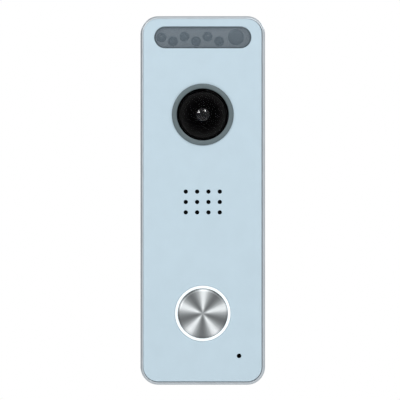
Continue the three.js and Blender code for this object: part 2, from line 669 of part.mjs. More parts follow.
function buttonPlunger() {
  const { head, headBack, stem, catchFront, back } = PLUNGER;
  const front = BUTTON.crown + FIT;
  return part("button_plunger", black, turned([
    [0, front], [head, front], [head, headBack], [stem, headBack], [stem, catchFront],
    [PLUNGER.catch, catchFront], [stem, back], [0, back],
  ]));
}

function buttonSpring() {
  const { radius, wire, turns, front, back, steps } = SPRING;
  const section = new THREE.Shape().absarc(0, 0, wire, 0, 2 * Math.PI);
  const extrudePath = new Helix(radius, turns, front, back);
  const geometry = new THREE.ExtrudeGeometry(section, { extrudePath, steps, curveSegments: ARC });
  return part("button_spring", steel, solidOf(geometry));
}

// A cup that guides the stem and seats the spring, on four posts from the board.
function buttonGuide() {
  const { rim, bore, stemBore, front, floor, back } = GUIDE;
  const cup = turned([
    [bore, front], [rim, front], [rim, back], [stemBore, back], [stemBore, floor], [bore, floor],
  ]);
  const posts = [1, 3, 5, 7].map((eighth) => {
    const angle = (eighth * Math.PI) / 4;
    const [x, z] = [GUIDE_POST.circle * Math.cos(angle), GUIDE_POST.circle * Math.sin(angle)];
    return rod(GUIDE_POST.radius, back - 0.3, MAIN_BOARD.front - FIT, x, z, COARSE);
  });
  return part("button_guide", black, joined(cup, ...posts));
}

function switchBody() {
  const { half, front, well, wellBack } = SWITCH;
  const can = centredBlock(0, half, front, MAIN_BOARD.front - FIT, 0, half);
  return part("switch_body", black, cut(can, rod(well, front - OVER, wellBack, 0, 0, 24)));
}

function switchPlunger() {
  const { radius, front, back } = SWITCH_PLUNGER;
  return part("switch_plunger", opal, rod(radius, front, back, 0, 0, 24));
}

// ---- main board and what is on it ----

function mainBoard() {
  const { front, back, width, top, bottom, corner } = MAIN_BOARD;
  const sheet = plate(roundedRect(width, top - bottom, corner, 0, (top + bottom) / 2), front, back);
  const hole = (x, z) => rod(MAIN_BOARD.hole, front - OVER, back + OVER, x, z, COARSE);
  const holes = [BOARD_SCREW, SPARE_HOLE].flatMap(({ x, z }) => [hole(-x, z), hole(x, z)]);
  return part("main_board", boardGreen, cut(sheet, ...holes));
}

function boardScrews() {
  const { x, z, head, headHeight, tip } = BOARD_SCREW;
  const headFront = MAIN_BOARD.back + FIT;
  return [-x, x].map((px, i) =>
    panScrew(`board_screw_${i + 1}`, px, z, head, headFront, headFront + headHeight, tip));
}

const terminalX = (way) => (way - (TERMINAL.ways - 1) / 2) * TERMINAL.pitch;

function terminalBlock() {
  const { width, height, front, back, ways } = TERMINAL;
  const { row, halfWidth, halfHeight, depth } = WIRE_WELL;
  const wells = [];
  for (let way = 0; way < ways; way++) {
    const x = terminalX(way);
    wells.push(rod(CLAMP_SCREW.well, back - CLAMP_SCREW.depth, back + OVER, x, CLAMP_SCREW.row, 16));
    wells.push(centredBlock(x, halfWidth, back - depth, back + OVER, row, halfHeight));
  }
  const body = centredBlock(0, width / 2, front, back, 0, height / 2);
  return part("terminal_block", terminalGreen, cut(body, ...wells));
}

function terminalScrew(way) {
  const { row, depth, head, top, slot, slotDepth } = CLAMP_SCREW;
  const x = terminalX(way);
  const headBack = TERMINAL.back - top;
  const body = rod(head, TERMINAL.back - depth + FIT, headBack, x, row, 16);
  const groove = centredBlock(x, 2 * head, headBack - slotDepth, headBack + OVER, row, slot);
  return part(`terminal_screw_${way + 1}`, steel, cut(body, groove));
}

function processorChip() {
  const { half, z, back } = CHIP;
  return part("processor_chip", black, centredBlock(0, half, MAIN_BOARD.back + FIT, back, z, half));
}

function capacitor() {
  const { radius, x, z, front } = CAPACITOR;
  return part("capacitor", darkMetal, rod(radius, front, MAIN_BOARD.front - FIT, x, z, 24));
}

function trimmerBody() {
  const { size, back, well, wellFront } = TRIMMER;
  const can = centredBlock(0, size / 2, MAIN_BOARD.back + FIT, back, 0, size / 2);
  return part("trimmer_body", trimmerBlue, cut(can, rod(well, wellFront, back + OVER, 0, 0, 24)));
}

function trimmerRotor() {
  const { radius, front, back, slotArm, slot, slotDepth } = ROTOR;
  const disc = rod(radius, front, back, 0, 0, 24);
  const groove = centredBlock(0, slotArm, back - slotDepth, back + OVER, 0, slot);
  return part("trimmer_rotor", steel, cut(disc, groove));
}

// ---- the assembly ----

const terminalScrews = Array.from({ length: TERMINAL.ways }, (_, way) => terminalScrew(way));

const panel = new THREE.Group();
panel.add(
  wallBracket(),
  lockScrew(),
  housingShell(),
  facePlate(),
  wallSeal(),
  rearCover(),
  ...coverScrews(),
  groupAt(0, 0, WINDOW.z, irWindow(), ledHolder(), ...ledPlaces.map(irLed), photocell(), ledBoard()),
  groupAt(0, 0, CAMERA.z, cameraBezel(), cameraGlass(), glassGasket(), cameraYoke()),
  groupAt(
    0, 0, CAMERA.z,
    cameraCradle(), sensorBoard(), imageSensor(), lensHolder(), lensBarrel(), frontLens(), cameraPlug(),
  ),
  groupAt(
    0, 0, SPEAKER.z,
    speakerMesh(), speakerGasket(), speakerFrame(), speakerCone(), speakerMagnet(), speakerClamp(),
  ),
  groupAt(MIC.x, 0, MIC.z, microphone(), microphoneBoot()),
  groupAt(
    0, 0, BUTTON.z,
    lightRing(), backlightBoard(), buttonCap(), buttonPlunger(), buttonSpring(), buttonGuide(),
    switchBody(), switchPlunger(),
  ),
  mainBoard(),
  ...boardScrews(),
  processorChip(),
  capacitor(),
  groupAt(0, 0, TERMINAL.z, terminalBlock(), ...terminalScrews),
  groupAt(TRIMMER.x, 0, TRIMMER.z, trimmerBody(), trimmerRotor()),
);

export default panel;
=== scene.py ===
"""Looks of the slim door intercom panel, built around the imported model.

The frame is in metres: +Z is up, the front faces -Y and the wall is the plane y = 0. Lengths here are in
millimetres and become metres when a mesh is made. Where a piece sits, and how far it reaches, comes from its
CAD node.
"""

import json
import math

import bmesh
import bpy
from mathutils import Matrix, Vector
from mathutils.geometry import tessellate_polygon


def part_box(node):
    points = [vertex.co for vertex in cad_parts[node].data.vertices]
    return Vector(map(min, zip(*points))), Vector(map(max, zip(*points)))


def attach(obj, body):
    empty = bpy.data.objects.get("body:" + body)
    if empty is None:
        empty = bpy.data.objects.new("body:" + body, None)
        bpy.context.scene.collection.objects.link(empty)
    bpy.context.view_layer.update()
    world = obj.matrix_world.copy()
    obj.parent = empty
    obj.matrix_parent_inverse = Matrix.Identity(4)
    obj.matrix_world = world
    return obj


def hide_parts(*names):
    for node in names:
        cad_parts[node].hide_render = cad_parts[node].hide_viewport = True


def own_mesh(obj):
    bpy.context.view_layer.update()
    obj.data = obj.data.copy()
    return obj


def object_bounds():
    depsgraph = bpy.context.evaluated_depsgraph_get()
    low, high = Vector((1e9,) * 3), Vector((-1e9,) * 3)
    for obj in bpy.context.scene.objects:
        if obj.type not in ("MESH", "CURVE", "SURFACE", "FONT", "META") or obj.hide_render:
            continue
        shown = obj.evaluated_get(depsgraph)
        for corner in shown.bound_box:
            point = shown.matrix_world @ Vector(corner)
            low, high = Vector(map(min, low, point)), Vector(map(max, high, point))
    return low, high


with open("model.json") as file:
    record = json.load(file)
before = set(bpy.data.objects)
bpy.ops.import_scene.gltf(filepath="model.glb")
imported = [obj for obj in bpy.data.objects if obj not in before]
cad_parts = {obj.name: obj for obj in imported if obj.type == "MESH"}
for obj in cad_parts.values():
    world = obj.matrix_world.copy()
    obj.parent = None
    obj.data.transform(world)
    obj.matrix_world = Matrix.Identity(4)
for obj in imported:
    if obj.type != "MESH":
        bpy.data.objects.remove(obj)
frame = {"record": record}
CAD_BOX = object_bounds()
RECORD = frame["record"]
BODY = {n: body for body, names in RECORD["behaviour"]["bodies"].items() for n in names}
SLOT = {s["node"]: s["material_slot"] for s in RECORD["subparts"]}

MM = 0.001
TURN = 2 * math.pi
ROUND = 96  # facets round a turned piece
SHARP = math.radians(32)  # edges sharper than this keep a hard line
OVER = 1.0  # how far a cutter runs past the face it cuts
SAME = 1e-4  # points closer than this are one point


class Spot:
    """Where a CAD node lies at rest, in millimetres."""

    def __init__(self, node):
        self.node = node
        low, high = ([v / MM for v in corner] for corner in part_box(node))
        self.x0, self.front, self.z0 = low
        self.x1, self.back, self.z1 = high
        self.x, self.y, self.z = ((a + b) / 2 for a, b in zip(low, high))
        self.across, self.deep, self.up = zip(low, high)  # from where to where along x, y and z
        self.width, self.height = self.x1 - self.x0, self.z1 - self.z0
        self.r = self.width / 2

    def outline(self, corner, n):
        """Its outline as seen from the front, with round corners."""
        return rounded(self.width, self.height, corner, self.x, self.z, n)


def spots(name, count):
    """The places of nodes that share a name, numbered from 1."""
    return [Spot(f"{name}_{i}") for i in range(1, count + 1)]


# ---- mesh code ----


def around(middle, half):
    return middle - half, middle + half


def rounded(width, height, radius, x=0.0, z=0.0, n=14):
    """The outline of a rectangle with round corners, as a function of how far it is moved inwards."""

    def outline(inset=0.0):
        r = max(radius - inset, 0.05)
        a, b = width / 2 - inset - r, height / 2 - inset - r
        points = []
        for turn, (sx, sz) in enumerate(((1, 1), (-1, 1), (-1, -1), (1, -1))):
            for i in range(n + 1):
                angle = (turn + i / n) * math.pi / 2
                point = (x + sx * a + r * math.cos(angle), z + sz * b + r * math.sin(angle))
                if not points or min(math.dist(point, points[k]) for k in (0, -1)) > SAME:
                    points.append(point)
        return points

    return outline


def circle(radius, x=0.0, z=0.0, n=ROUND):
    def outline(inset=0.0):
        r = radius - inset
        return [(x + r * math.cos(TURN * i / n), z + r * math.sin(TURN * i / n)) for i in range(n)]

    return outline


def band(inner, outer, front, back):
    """A rectangular [radius, y] profile."""
    return [(inner, front), (outer, front), (outer, back), (inner, back)]


def corners(spot, reach):
    """The four corners of a square round a spot, as x and z."""
    return [(spot.x + sx * reach, spot.z + sz * reach) for sx in (-1, 1) for sz in (-1, 1)]


def quarter(steps):
    """Sines and cosines over a quarter turn."""
    angles = [k / steps * math.pi / 2 for k in range(steps + 1)]
    return [(math.sin(a), math.cos(a)) for a in angles]


def filleted(profile, radius, steps=4):
    """A closed profile with every sharp corner off the axis rounded."""
    points = []
    for i, p in enumerate(profile):
        p, before, after = Vector(p), Vector(profile[i - 1]), Vector(profile[(i + 1) % len(profile)])
        back, on = before - p, after - p
        if p.x <= 0 or back.length < 1e-6 or on.length < 1e-6 or back.angle(on) > math.radians(150):
            points.append(p)
            continue
        reach = min(radius, 0.4 * back.length, 0.4 * on.length)
        start, end = p + back.normalized() * reach, p + on.normalized() * reach
        for k in range(steps + 1):
            t = k / steps
            points.append(start * (1 - t) ** 2 + p * 2 * t * (1 - t) + end * t**2)
    return [(q.x, q.y) for q in points]


def skin(bm, rings, closed):
    """Quads between rings of points; a ring may be a single point on an axis."""
    made = [[bm.verts.new(Vector(p) * MM) for p in ring] for ring in rings]
    following = made[1:] + made[:1] if closed else made[1:]
    for a, b in zip(made, following):
        if len(a) == 1 and len(b) == 1:
            continue
        size = max(len(a), len(b))
        for i in range(size):
            j = (i + 1) % size
            quad = [a[i % len(a)], a[j % len(a)], b[j % len(b)], b[i % len(b)]]
            bm.faces.new([v for k, v in enumerate(quad) if v not in quad[:k]])
    return made


def cap(bm, *loops):
    """Faces between an outer loop of vertices and its holes."""
    flat = [v for loop in loops for v in loop]
    for triangle in tessellate_polygon([[v.co for v in loop] for loop in loops]):
        bm.faces.new([flat[i] for i in triangle])


def placed(name, data):
    obj = bpy.data.objects.new(name, data)
    bpy.context.scene.collection.objects.link(obj)
    return obj


def finished(name, bm):
    """The object of a bmesh, with its faces facing out and smooth shading between sharp edges."""
    for face in bm.faces:
        face.smooth = True
    bmesh.ops.recalc_face_normals(bm, faces=bm.faces)
    data = bpy.data.meshes.new(name)
    bm.to_mesh(data)
    bm.free()
    data.set_sharp_from_angle(angle=SHARP)
    return placed(name, data)


def turned(name, profile, spot, fillet=0.12, n=ROUND):
    """A closed [radius, y] profile turned about an axis along Y through a spot."""
    rings = []
    for r, y in filleted(profile, fillet) if fillet else profile:
        ring = circle(r, spot.x, spot.z, n)() if r > 0 else [(spot.x, spot.z)]
        rings.append([(px, y, pz) for px, pz in ring])
    bm = bmesh.new()
    skin(bm, rings, closed=True)
    return finished(name, bm)


def swept(name, profile, outline, fillet=0.12):
    """A closed [inset, y] profile carried round an outline."""
    bm = bmesh.new()
    rings = [[(x, y, z) for x, z in outline(inset)] for inset, y in filleted(profile, fillet)]
    skin(bm, rings, closed=True)
    return finished(name, bm)


def plate(name, outer, front, back, holes=(), bevel=0.15, steps=3):
    """A flat plate with holes right through it and rounded edges."""
    edge = [(bevel * (1 - sine), bevel * (1 - cosine)) for sine, cosine in quarter(steps)]
    levels = [(inset, front + rise) for inset, rise in edge]
    levels += [(inset, back - rise) for inset, rise in reversed(edge)]
    bm = bmesh.new()
    walls = []
    for loop, side in [(outer, 1)] + [(hole, -1) for hole in holes]:
        rings = [[(x, y, z) for x, z in loop(side * inset)] for inset, y in levels]
        walls.append(skin(bm, rings, closed=False))
    cap(bm, *(rings[0] for rings in walls))
    cap(bm, *(rings[-1] for rings in walls))
    return finished(name, bm)


def lumps(name, spans, bevel=0.15, steps=3):
    """Separate blocks with rounded edges, each between pairs of x, y and z."""
    bm = bmesh.new()
    for span in spans:
        for v in bmesh.ops.create_cube(bm, size=1)["verts"]:
            v.co = Vector((lo + hi) / 2 + c * (hi - lo) for c, (lo, hi) in zip(v.co, span)) * MM
    if bevel:
        bmesh.ops.bevel(bm, geom=bm.edges[:], offset=bevel * MM, segments=steps, profile=0.5, affect="EDGES")
    return finished(name, bm)


def lump(name, x, y, z, bevel=0.15):
    return lumps(name, [(x, y, z)], bevel)


def bar(name, radius, start, end, bevel=0.15, n=48):
    """A round bar between two points."""
    start, along = Vector(start), Vector(end) - Vector(start)
    obj = turned(name, band(0, radius, 0, along.length), Vector(), bevel, n)
    turn = Vector((0, 1, 0)).rotation_difference(along).to_matrix()
    for v in obj.data.vertices:
        v.co = turn @ v.co + start * MM
    return obj


def rod(name, radius, spot, front, back, bevel=0.0, n=48):
    """A round bar along Y through a spot."""
    return bar(name, radius, (spot.x, front, spot.z), (spot.x, back, spot.z), bevel, n)


def coil(name, spot, radius, wire, turns, per_turn=36, section=14):
    """A round wire wound about an axis along Y."""
    front, back = spot.front + wire, spot.back - wire
    rings = []
    for i in range(turns * per_turn + 1):
        angle = TURN * i / per_turn
        out = Vector((math.cos(angle), 0, math.sin(angle)))
        middle = Vector((spot.x, front + (back - front) * i / (turns * per_turn), spot.z)) + out * radius
        rise = (back - front) / (turns * TURN * radius)
        side = Vector((-math.sin(angle), rise, math.cos(angle))).normalized().cross(out)
        turns_round = [TURN * k / section for k in range(section)]
        rings.append([middle + (out * math.cos(a) + side * math.sin(a)) * wire for a in turns_round])
    bm = bmesh.new()
    made = skin(bm, rings, closed=False)
    cap(bm, made[0])
    cap(bm, made[-1])
    return finished(name, bm)


def combine(obj, tools, operation):
    """Adds the tools to obj, or takes them away, one after the other. The tools are used up."""
    for tool in tools:
        step = obj.modifiers.new("combine", "BOOLEAN")
        step.operation, step.object, step.solver = operation, tool, "EXACT"
        bpy.context.view_layer.update()
        data = bpy.data.meshes.new_from_object(obj.evaluated_get(bpy.context.evaluated_depsgraph_get()))
        obj.modifiers.clear()
        bpy.data.objects.remove(tool)
        bm = bmesh.new()
        bm.from_mesh(data)
        bmesh.ops.remove_doubles(bm, verts=bm.verts, dist=SAME * MM)
        bm.to_mesh(data)
        bm.free()
        obj.data = data
    obj.data.set_sharp_from_angle(angle=SHARP)
    return obj


def add(obj, *tools):
    return combine(obj, tools, "UNION")


def cut(obj, *tools):
    return combine(obj, tools, "DIFFERENCE")


# ---- materials ----


def new_node(tree, kind, values=(), **settings):
    """A node with its settings, and with values for the inputs that aren't linked."""
    made = tree.nodes.new(kind)
    for key, value in settings.items():
        setattr(made, key, value)
    for socket, value in dict(values).items():
        made.inputs[socket].default_value = value
    return made


class Paint:
    """A Principled material and short calls for the nodes that feed it."""

    def __init__(self, name, color, roughness, metallic=0.0, **sockets):
        self.material = bpy.data.materials.new(name)
        self.material.use_nodes = True
        self.tree = self.material.node_tree
        self.shader = self.tree.nodes["Principled BSDF"]
        sockets.update({"Base Color": (*color, 1), "Roughness": roughness, "Metallic": metallic})
        for socket, value in sockets.items():
            self.shader.inputs[socket.replace("_", " ")].default_value = value
        self.color, self.roughness = color, roughness
        self.place = self.node("ShaderNodeTexCoord").outputs["Object"]

    def node(self, kind, values=(), **settings):
        return new_node(self.tree, kind, values, **settings)

    def link(self, source, target):
        self.tree.links.new(source, target)

    def math(self, operation, *values):
        made = self.node("ShaderNodeMath", operation=operation)
        for socket, value in zip(made.inputs, values):
            if isinstance(value, (int, float)):
                socket.default_value = value
            else:
                self.link(value, socket)
        return made.outputs[0]

    def mapped(self, value, low, high, to_low=0.0, to_high=1.0):
        ends = {"From Min": low, "From Max": high, "To Min": to_low, "To Max": to_high}
        made = self.node("ShaderNodeMapRange", ends)
        self.link(value, made.inputs["Value"])
        return made.outputs[0]

    def noise(self, grain_mm, detail):
        """Noise whose features are about grain_mm across, from 0 to 1."""
        made = self.node("ShaderNodeTexNoise", {"Scale": 1 / (grain_mm * MM), "Detail": detail})
        self.link(self.place, made.inputs["Vector"])
        return made.outputs["Fac"]

    def ramp(self, factor, stops):
        made = self.node("ShaderNodeValToRGB")
        elements = made.color_ramp.elements
        while len(elements) < len(stops):
            elements.new(0.5)
        for element, (position, color) in zip(elements, stops):
            element.position, element.color = position, (*color, 1)
        self.link(factor, made.inputs[0])
        return made.outputs[0]

    def colored(self, factor, stops):
        self.link(self.ramp(factor, stops), self.shader.inputs["Base Color"])

    def tint(self, factor, spread):
        """The base colour, a little darker and lighter over the surface."""
        low = tuple(c * (1 - spread) for c in self.color)
        high = tuple(min(c * (1 + spread), 1) for c in self.color)
        self.colored(factor, [(0.3, low), (0.7, high)])

    def wear(self, factor, spread):
        """The base roughness, varied over the surface."""
        varied = self.mapped(factor, 0, 1, self.roughness - spread, self.roughness + spread)
        self.link(varied, self.shader.inputs["Roughness"])

    def bump(self, height, depth_mm, strength=1.0):
        made = self.node("ShaderNodeBump", {"Distance": depth_mm * MM, "Strength": strength})
        self.link(height, made.inputs["Height"])
        self.link(made.outputs[0], self.shader.inputs["Normal"])

    def axes(self):
        apart = self.node("ShaderNodeSeparateXYZ")
        self.link(self.place, apart.inputs[0])
        return apart.outputs

    def polar(self, spot):
        """Distance in millimetres and angle about an axis along Y through a spot."""
        x, _, z = self.axes()
        dx, dz = self.math("SUBTRACT", x, spot.x * MM), self.math("SUBTRACT", z, spot.z * MM)
        squares = self.math("MULTIPLY_ADD", dx, dx, self.math("MULTIPLY", dz, dz))
        return self.math("DIVIDE", self.math("SQRT", squares), MM), self.math("ARCTAN2", dz, dx)


def grained(name, color, roughness, metallic=0.0, grain=0.3, depth=0.01, spread=0.06, wear=0.05, **sockets):
    """A fine-grained finish: moulded plastic, powder coat, rubber or blasted metal."""
    paint = Paint(name, color, roughness, metallic, **sockets)
    paint.tint(paint.noise(grain * 18, 3), spread)
    paint.wear(paint.noise(grain * 5, 3), wear)
    paint.bump(paint.noise(grain, 5), depth)
    return paint.material


def zinc(name):
    """Zinc-plated steel with a faint mottled bloom."""
    paint = Paint(name, (0.55, 0.56, 0.57), 0.36, 0.9)
    cells = paint.node("ShaderNodeTexVoronoi", {"Scale": 1 / (2.2 * MM)})
    paint.link(paint.place, cells.inputs["Vector"])
    spangle = paint.math("MULTIPLY", cells.outputs["Distance"], 0.25)
    bloom = paint.math("MULTIPLY_ADD", paint.noise(1.4, 4), 0.75, spangle)
    paint.colored(bloom, [(0.2, (0.50, 0.51, 0.54)), (0.6, (0.58, 0.59, 0.59)), (0.9, (0.62, 0.61, 0.58))])
    paint.wear(bloom, 0.08)
    paint.bump(paint.noise(0.15, 3), 0.003)
    return paint.material


def circuit(name):
    """Green solder mask over copper tracks."""
    mask, track = (0.015, 0.13, 0.05), (0.05, 0.27, 0.10)
    paint = Paint(name, mask, 0.35, 0.0, Coat_Weight=0.3)
    shades = {"Color1": (0, 0, 0, 1), "Color2": (0, 0, 0, 1), "Mortar": (1, 1, 1, 1)}
    size = {"Scale": 1 / (3.0 * MM), "Mortar Size": 0.035}
    lines = paint.node("ShaderNodeTexBrick", {**shades, **size}, offset=0.37, offset_frequency=3, squash=1.0)
    upright = paint.node("ShaderNodeMapping", {"Rotation": (math.pi / 2, 0, 0)})
    paint.link(paint.place, upright.inputs["Vector"])
    paint.link(upright.outputs[0], lines.inputs["Vector"])
    paint.colored(lines.outputs["Color"], [(0.2, mask), (0.8, track)])
    paint.wear(paint.noise(0.8, 3), 0.06)
    paint.bump(lines.outputs["Color"], 0.02)
    return paint.material


def spun_with_painted_rays(name, spot):
    """Spun metal with painted highlights: five broad bright rays painted into the colour round the cap's
    axis, over fine hairline streaks.
    """
    rays, first, middle = 5, math.radians(16), 1.8
    paint = Paint(name, (0.42, 0.44, 0.45), 0.42, 0.55)
    distance, angle = paint.polar(spot)
    # painted highlight: five bright rays and the dark gaps between them, fading out towards the cap's middle
    painted_ray_wave = paint.math("COSINE", paint.math("MULTIPLY", paint.math("SUBTRACT", angle, first), rays))
    strength = paint.mapped(distance, 0, middle, 0, 0.5)
    painted_light_level = paint.math("MULTIPLY_ADD", painted_ray_wave, strength, 0.5)
    hairline = paint.node("ShaderNodeCombineXYZ")
    paint.link(paint.math("MULTIPLY", distance, 0.06), hairline.inputs[0])
    paint.link(paint.math("MULTIPLY", paint.math("SINE", angle), 3), hairline.inputs[1])
    paint.link(paint.math("MULTIPLY", paint.math("COSINE", angle), 3), hairline.inputs[2])
    streaks = paint.node("ShaderNodeTexNoise", {"Scale": 9.0, "Detail": 6.0})
    paint.link(hairline.outputs[0], streaks.inputs["Vector"])
    streak = streaks.outputs["Fac"]
    streaks_and_painted_rays = paint.math("MULTIPLY_ADD", streak, 0.14, paint.math("MULTIPLY", painted_light_level, 0.86))
    # painted highlight: colours from the dark gaps between the rays up to the bright rays
    shades = [(0.05, (0.125, 0.132, 0.136)), (0.35, (0.23, 0.245, 0.25)), (0.65, (0.40, 0.42, 0.43))]
    paint.colored(streaks_and_painted_rays, [*shades, (0.95, (0.80, 0.83, 0.84))])
    paint.wear(streak, 0.08)
    paint.bump(streak, 0.004)
    return paint.material


def spun(name, color, roughness, spot, metallic=0.0, pitch=0.12, depth=0.006):
    """A turned surface with fine rings round its own axis."""
    paint = Paint(name, color, roughness, metallic)
    distance, _ = paint.polar(spot)
    paint.tint(paint.noise(1.2, 4), 0.06)
    paint.wear(paint.noise(0.5, 3), 0.05)
    paint.bump(paint.math("SINE", paint.math("MULTIPLY", distance, TURN / pitch)), depth, 0.6)
    return paint.material


def baffle(name, spot, throat, rim):
    """Black flock with painted light and shade: grey where the barrel's cone opens out, fading to black down
    the cone and black again outside its rim.
    """
    paint = Paint(name, (0.003, 0.003, 0.003), 0.7, 0.0, Specular_IOR_Level=0.02)
    distance, _ = paint.polar(spot)
    out = paint.mapped(distance, throat, rim)
    painted_shade = paint.math("MULTIPLY_ADD", paint.noise(0.4, 3), 0.05, out)
    # painted light and shade: black deep in the cone, grey towards its mouth, black again beyond the rim
    levels = ((0.05, 0.0003), (0.4, 0.003), (0.75, 0.0115), (0.93, 0.0135), (0.97, 0.0012))
    paint.colored(painted_shade, [(at, (painted_light_level,) * 3) for at, painted_light_level in levels])
    paint.bump(paint.noise(0.15, 3), 0.005)
    return paint.material


def glow(name):
    """An opal light guide lit from behind."""
    paint = Paint(name, (0.86, 0.93, 0.96), 0.3)
    paint.tint(paint.noise(1.5, 3), 0.02)
    paint.bump(paint.noise(0.3, 3), 0.004)
    paint.shader.inputs["Emission Color"].default_value = (1.0, 1.0, 1.0, 1)
    paint.shader.inputs["Emission Strength"].default_value = 0.12
    return paint.material


def clear(name, color, alpha, roughness, **sockets):
    """A see-through pane or lens."""
    paint = Paint(name, color, roughness, 0.0, Alpha=alpha, **sockets)
    paint.wear(paint.noise(4.0, 3), roughness * 0.5)
    paint.tint(paint.noise(6.0, 2), 0.05)
    return paint.material


def smoked(name, spot):
    """Smoked infrared-pass plastic with painted light: a touch lighter towards its top edge, as if lit from
    above.
    """
    low, high = (0.126, 0.166, 0.198), (0.176, 0.222, 0.262)
    paint = Paint(name, low, 0.18, 0.0, Alpha=0.46)
    # painted light: the colour grows lighter from the bottom edge to the top edge
    height = paint.mapped(paint.axes()["Z"], spot.z0 * MM, spot.z1 * MM)
    paint.colored(paint.math("MULTIPLY_ADD", paint.noise(2.0, 3), 0.08, height), [(0.0, low), (1.0, high)])
    paint.wear(paint.noise(1.0, 3), 0.04)
    return paint.material


def make_materials():
    """One finish for each of the record's slots."""
    barrel = Spot("lens_barrel")
    dark = (0.012, 0.012, 0.0125)
    made = [
        grained("housing_metal", (0.54, 0.585, 0.62), 0.42, 0.55, 0.25, 0.006, 0.04),
        grained("face_paint", (0.478, 0.595, 0.667), 0.5, 0.0, 0.35, 0.006, 0.015, Specular_IOR_Level=0.3),
        spun("bezel_grey", (0.090, 0.122, 0.132), 0.42, Spot("camera_bezel"), 0.2),
        smoked("smoked_plastic", Spot("ir_window")),
        clear("clear_glass", (0.002, 0.002, 0.003), 0.06, 0.03, Specular_IOR_Level=0.3),
        clear("lens_glass", (0.001, 0.0015, 0.003), 0.9, 0.04),
        grained("led_resin", (0.015, 0.015, 0.02), 0.12, 0.0, 0.4, 0.001, 0.1, 0.03),
        grained("lamp_holder_grey", (0.60, 0.62, 0.63), 0.5, 0.0, 0.3, 0.01, 0.04),
        spun_with_painted_rays("brushed_cap", Spot("button_cap")),
        glow("opal_plastic"),
        grained("black_plastic", dark, 0.55, 0.0, 0.2, 0.012, 0.15),
        baffle("baffle_black", barrel, Spot("front_lens").r + 0.1, barrel.r + 0.2),
        grained("rubber", dark, 0.8, 0.0, 0.12, 0.015, 0.2, Specular_IOR_Level=0.25),
        zinc("plated_steel"),
        grained("dark_metal", (0.12, 0.125, 0.13), 0.4, 0.8, 0.3, 0.006, 0.1),
        grained("speaker_paper", (0.004, 0.004, 0.0045), 0.8, 0.0, 0.25, 0.03, 0.25, Specular_IOR_Level=0.1),
        circuit("board_green"),
        grained("terminal_green", (0.03, 0.30, 0.11), 0.45, 0.0, 0.25, 0.008, 0.06),
        grained("trimmer_blue", (0.02, 0.09, 0.35), 0.4, 0.0, 0.2, 0.006, 0.06),
        spun("silicon", (0.05, 0.05, 0.09), 0.15, Spot("image_sensor"), 0.0, 0.4, 0.05),
        grained("ivory_plastic", (0.75, 0.70, 0.58), 0.45, 0.0, 0.2, 0.006, 0.04),
    ]
    return {material.name.split(".")[0]: material for material in made}  # a name already taken gets a suffix


MATERIALS = make_materials()


def stands_for(obj, spot, slot=None, material=None):
    """obj takes the place of the CAD node there, on its body and in its slot's finish."""
    slot = slot or SLOT[spot.node]
    obj.data.materials.clear()
    obj.data.materials.append(material or MATERIALS[slot])
    obj.modifiers.new("even_shading", "WEIGHTED_NORMAL").keep_sharp = True
    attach(obj, BODY[spot.node])
    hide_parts(spot.node)
    return obj


def lathed(name, profile, spot, fillet=0.12, n=ROUND, slot=None):
    """A turned piece that takes the place of its spot's node."""
    stands_for(turned(name, profile, spot, fillet, n), spot, slot)


def sheet(name, spot, corner, n, holes, bevel=0.08):
    """A plate that takes the place of its spot's node and fills its spot."""
    stands_for(plate(name, spot.outline(corner, n), *spot.deep, holes, bevel), spot)


# ---- housing ----

PANEL_CORNER = 5.9
RIM_INSET, RIM_RISE = 0.8, 1.4  # the rounded front edge
POCKET_INSET, LEDGE_INSET, WALL = 0.85, 2.9, 1.8
LEDGE_FRONT, LEDGE_BACK = -24.55, -23.4
COVER_FRONT = -6.8
LOCK_Y = -5.0
LOCK_BOSS_LOW, LOCK_BOSS_HIGH = -59.8, -57.9
WINDOW_WIDTH, WINDOW_HEIGHT = 31.9, 7.0
RING_OUTER = 9.2
BEZEL_SEAT = 9.3
COVER_SCREWS, BOARD_SCREWS = spots("cover_screw", 4), spots("board_screw", 2)
LAMPS, TERMINALS = spots("ir_led", 6), spots("terminal_screw", 4)


def shell_profile(box):
    """The shell's wall as [inset, y], from the rear edge over the front rim and back along the inside."""
    arc = [(RIM_INSET * (1 - c), box.front + RIM_RISE * (1 - s)) for s, c in quarter(10)]
    inside = [(POCKET_INSET, LEDGE_FRONT), (LEDGE_INSET, LEDGE_FRONT), (LEDGE_INSET, LEDGE_BACK)]
    rear = [(WALL, LEDGE_BACK), (WALL, box.back)]
    return [(0.3, box.back), (0, box.back - 0.5), *arc, (POCKET_INSET, box.front + 0.04), *inside, *rear]


def open_slot(radius, z0, z1):
    """Cutters for an open-backed slot round the lock screw."""
    hole = bar("lock_hole", radius, (0, LOCK_Y, z0), (0, LOCK_Y, z1), 0)
    return hole, lump("lock_slot", around(0, radius - 0.02), (LOCK_Y, OVER), (z0 + 0.01, z1 - 0.01), 0)


def shell_posts(box):
    front, board = LEDGE_BACK - 0.2, Spot("main_board")
    posts = [rod("post", 2.2, s, front, COVER_FRONT - 0.1, 0.1) for s in COVER_SCREWS]
    for side in (-1, 1):
        span = sorted((side * 13, side * (box.x1 - WALL + 0.3)))
        posts.append(lump("post", span, (front, board.front - 0.05), (3.3, 7.9), 0.1))
    catch = lump("catch", (-9, 9), (-2.9, -1.6), (58.6, 59.6), 0.1)
    boss = lump("lock_boss", (-5.2, 5.2), (-8.9, box.back), (LOCK_BOSS_LOW, LOCK_BOSS_HIGH), 0.1)
    return [*posts, catch, boss]


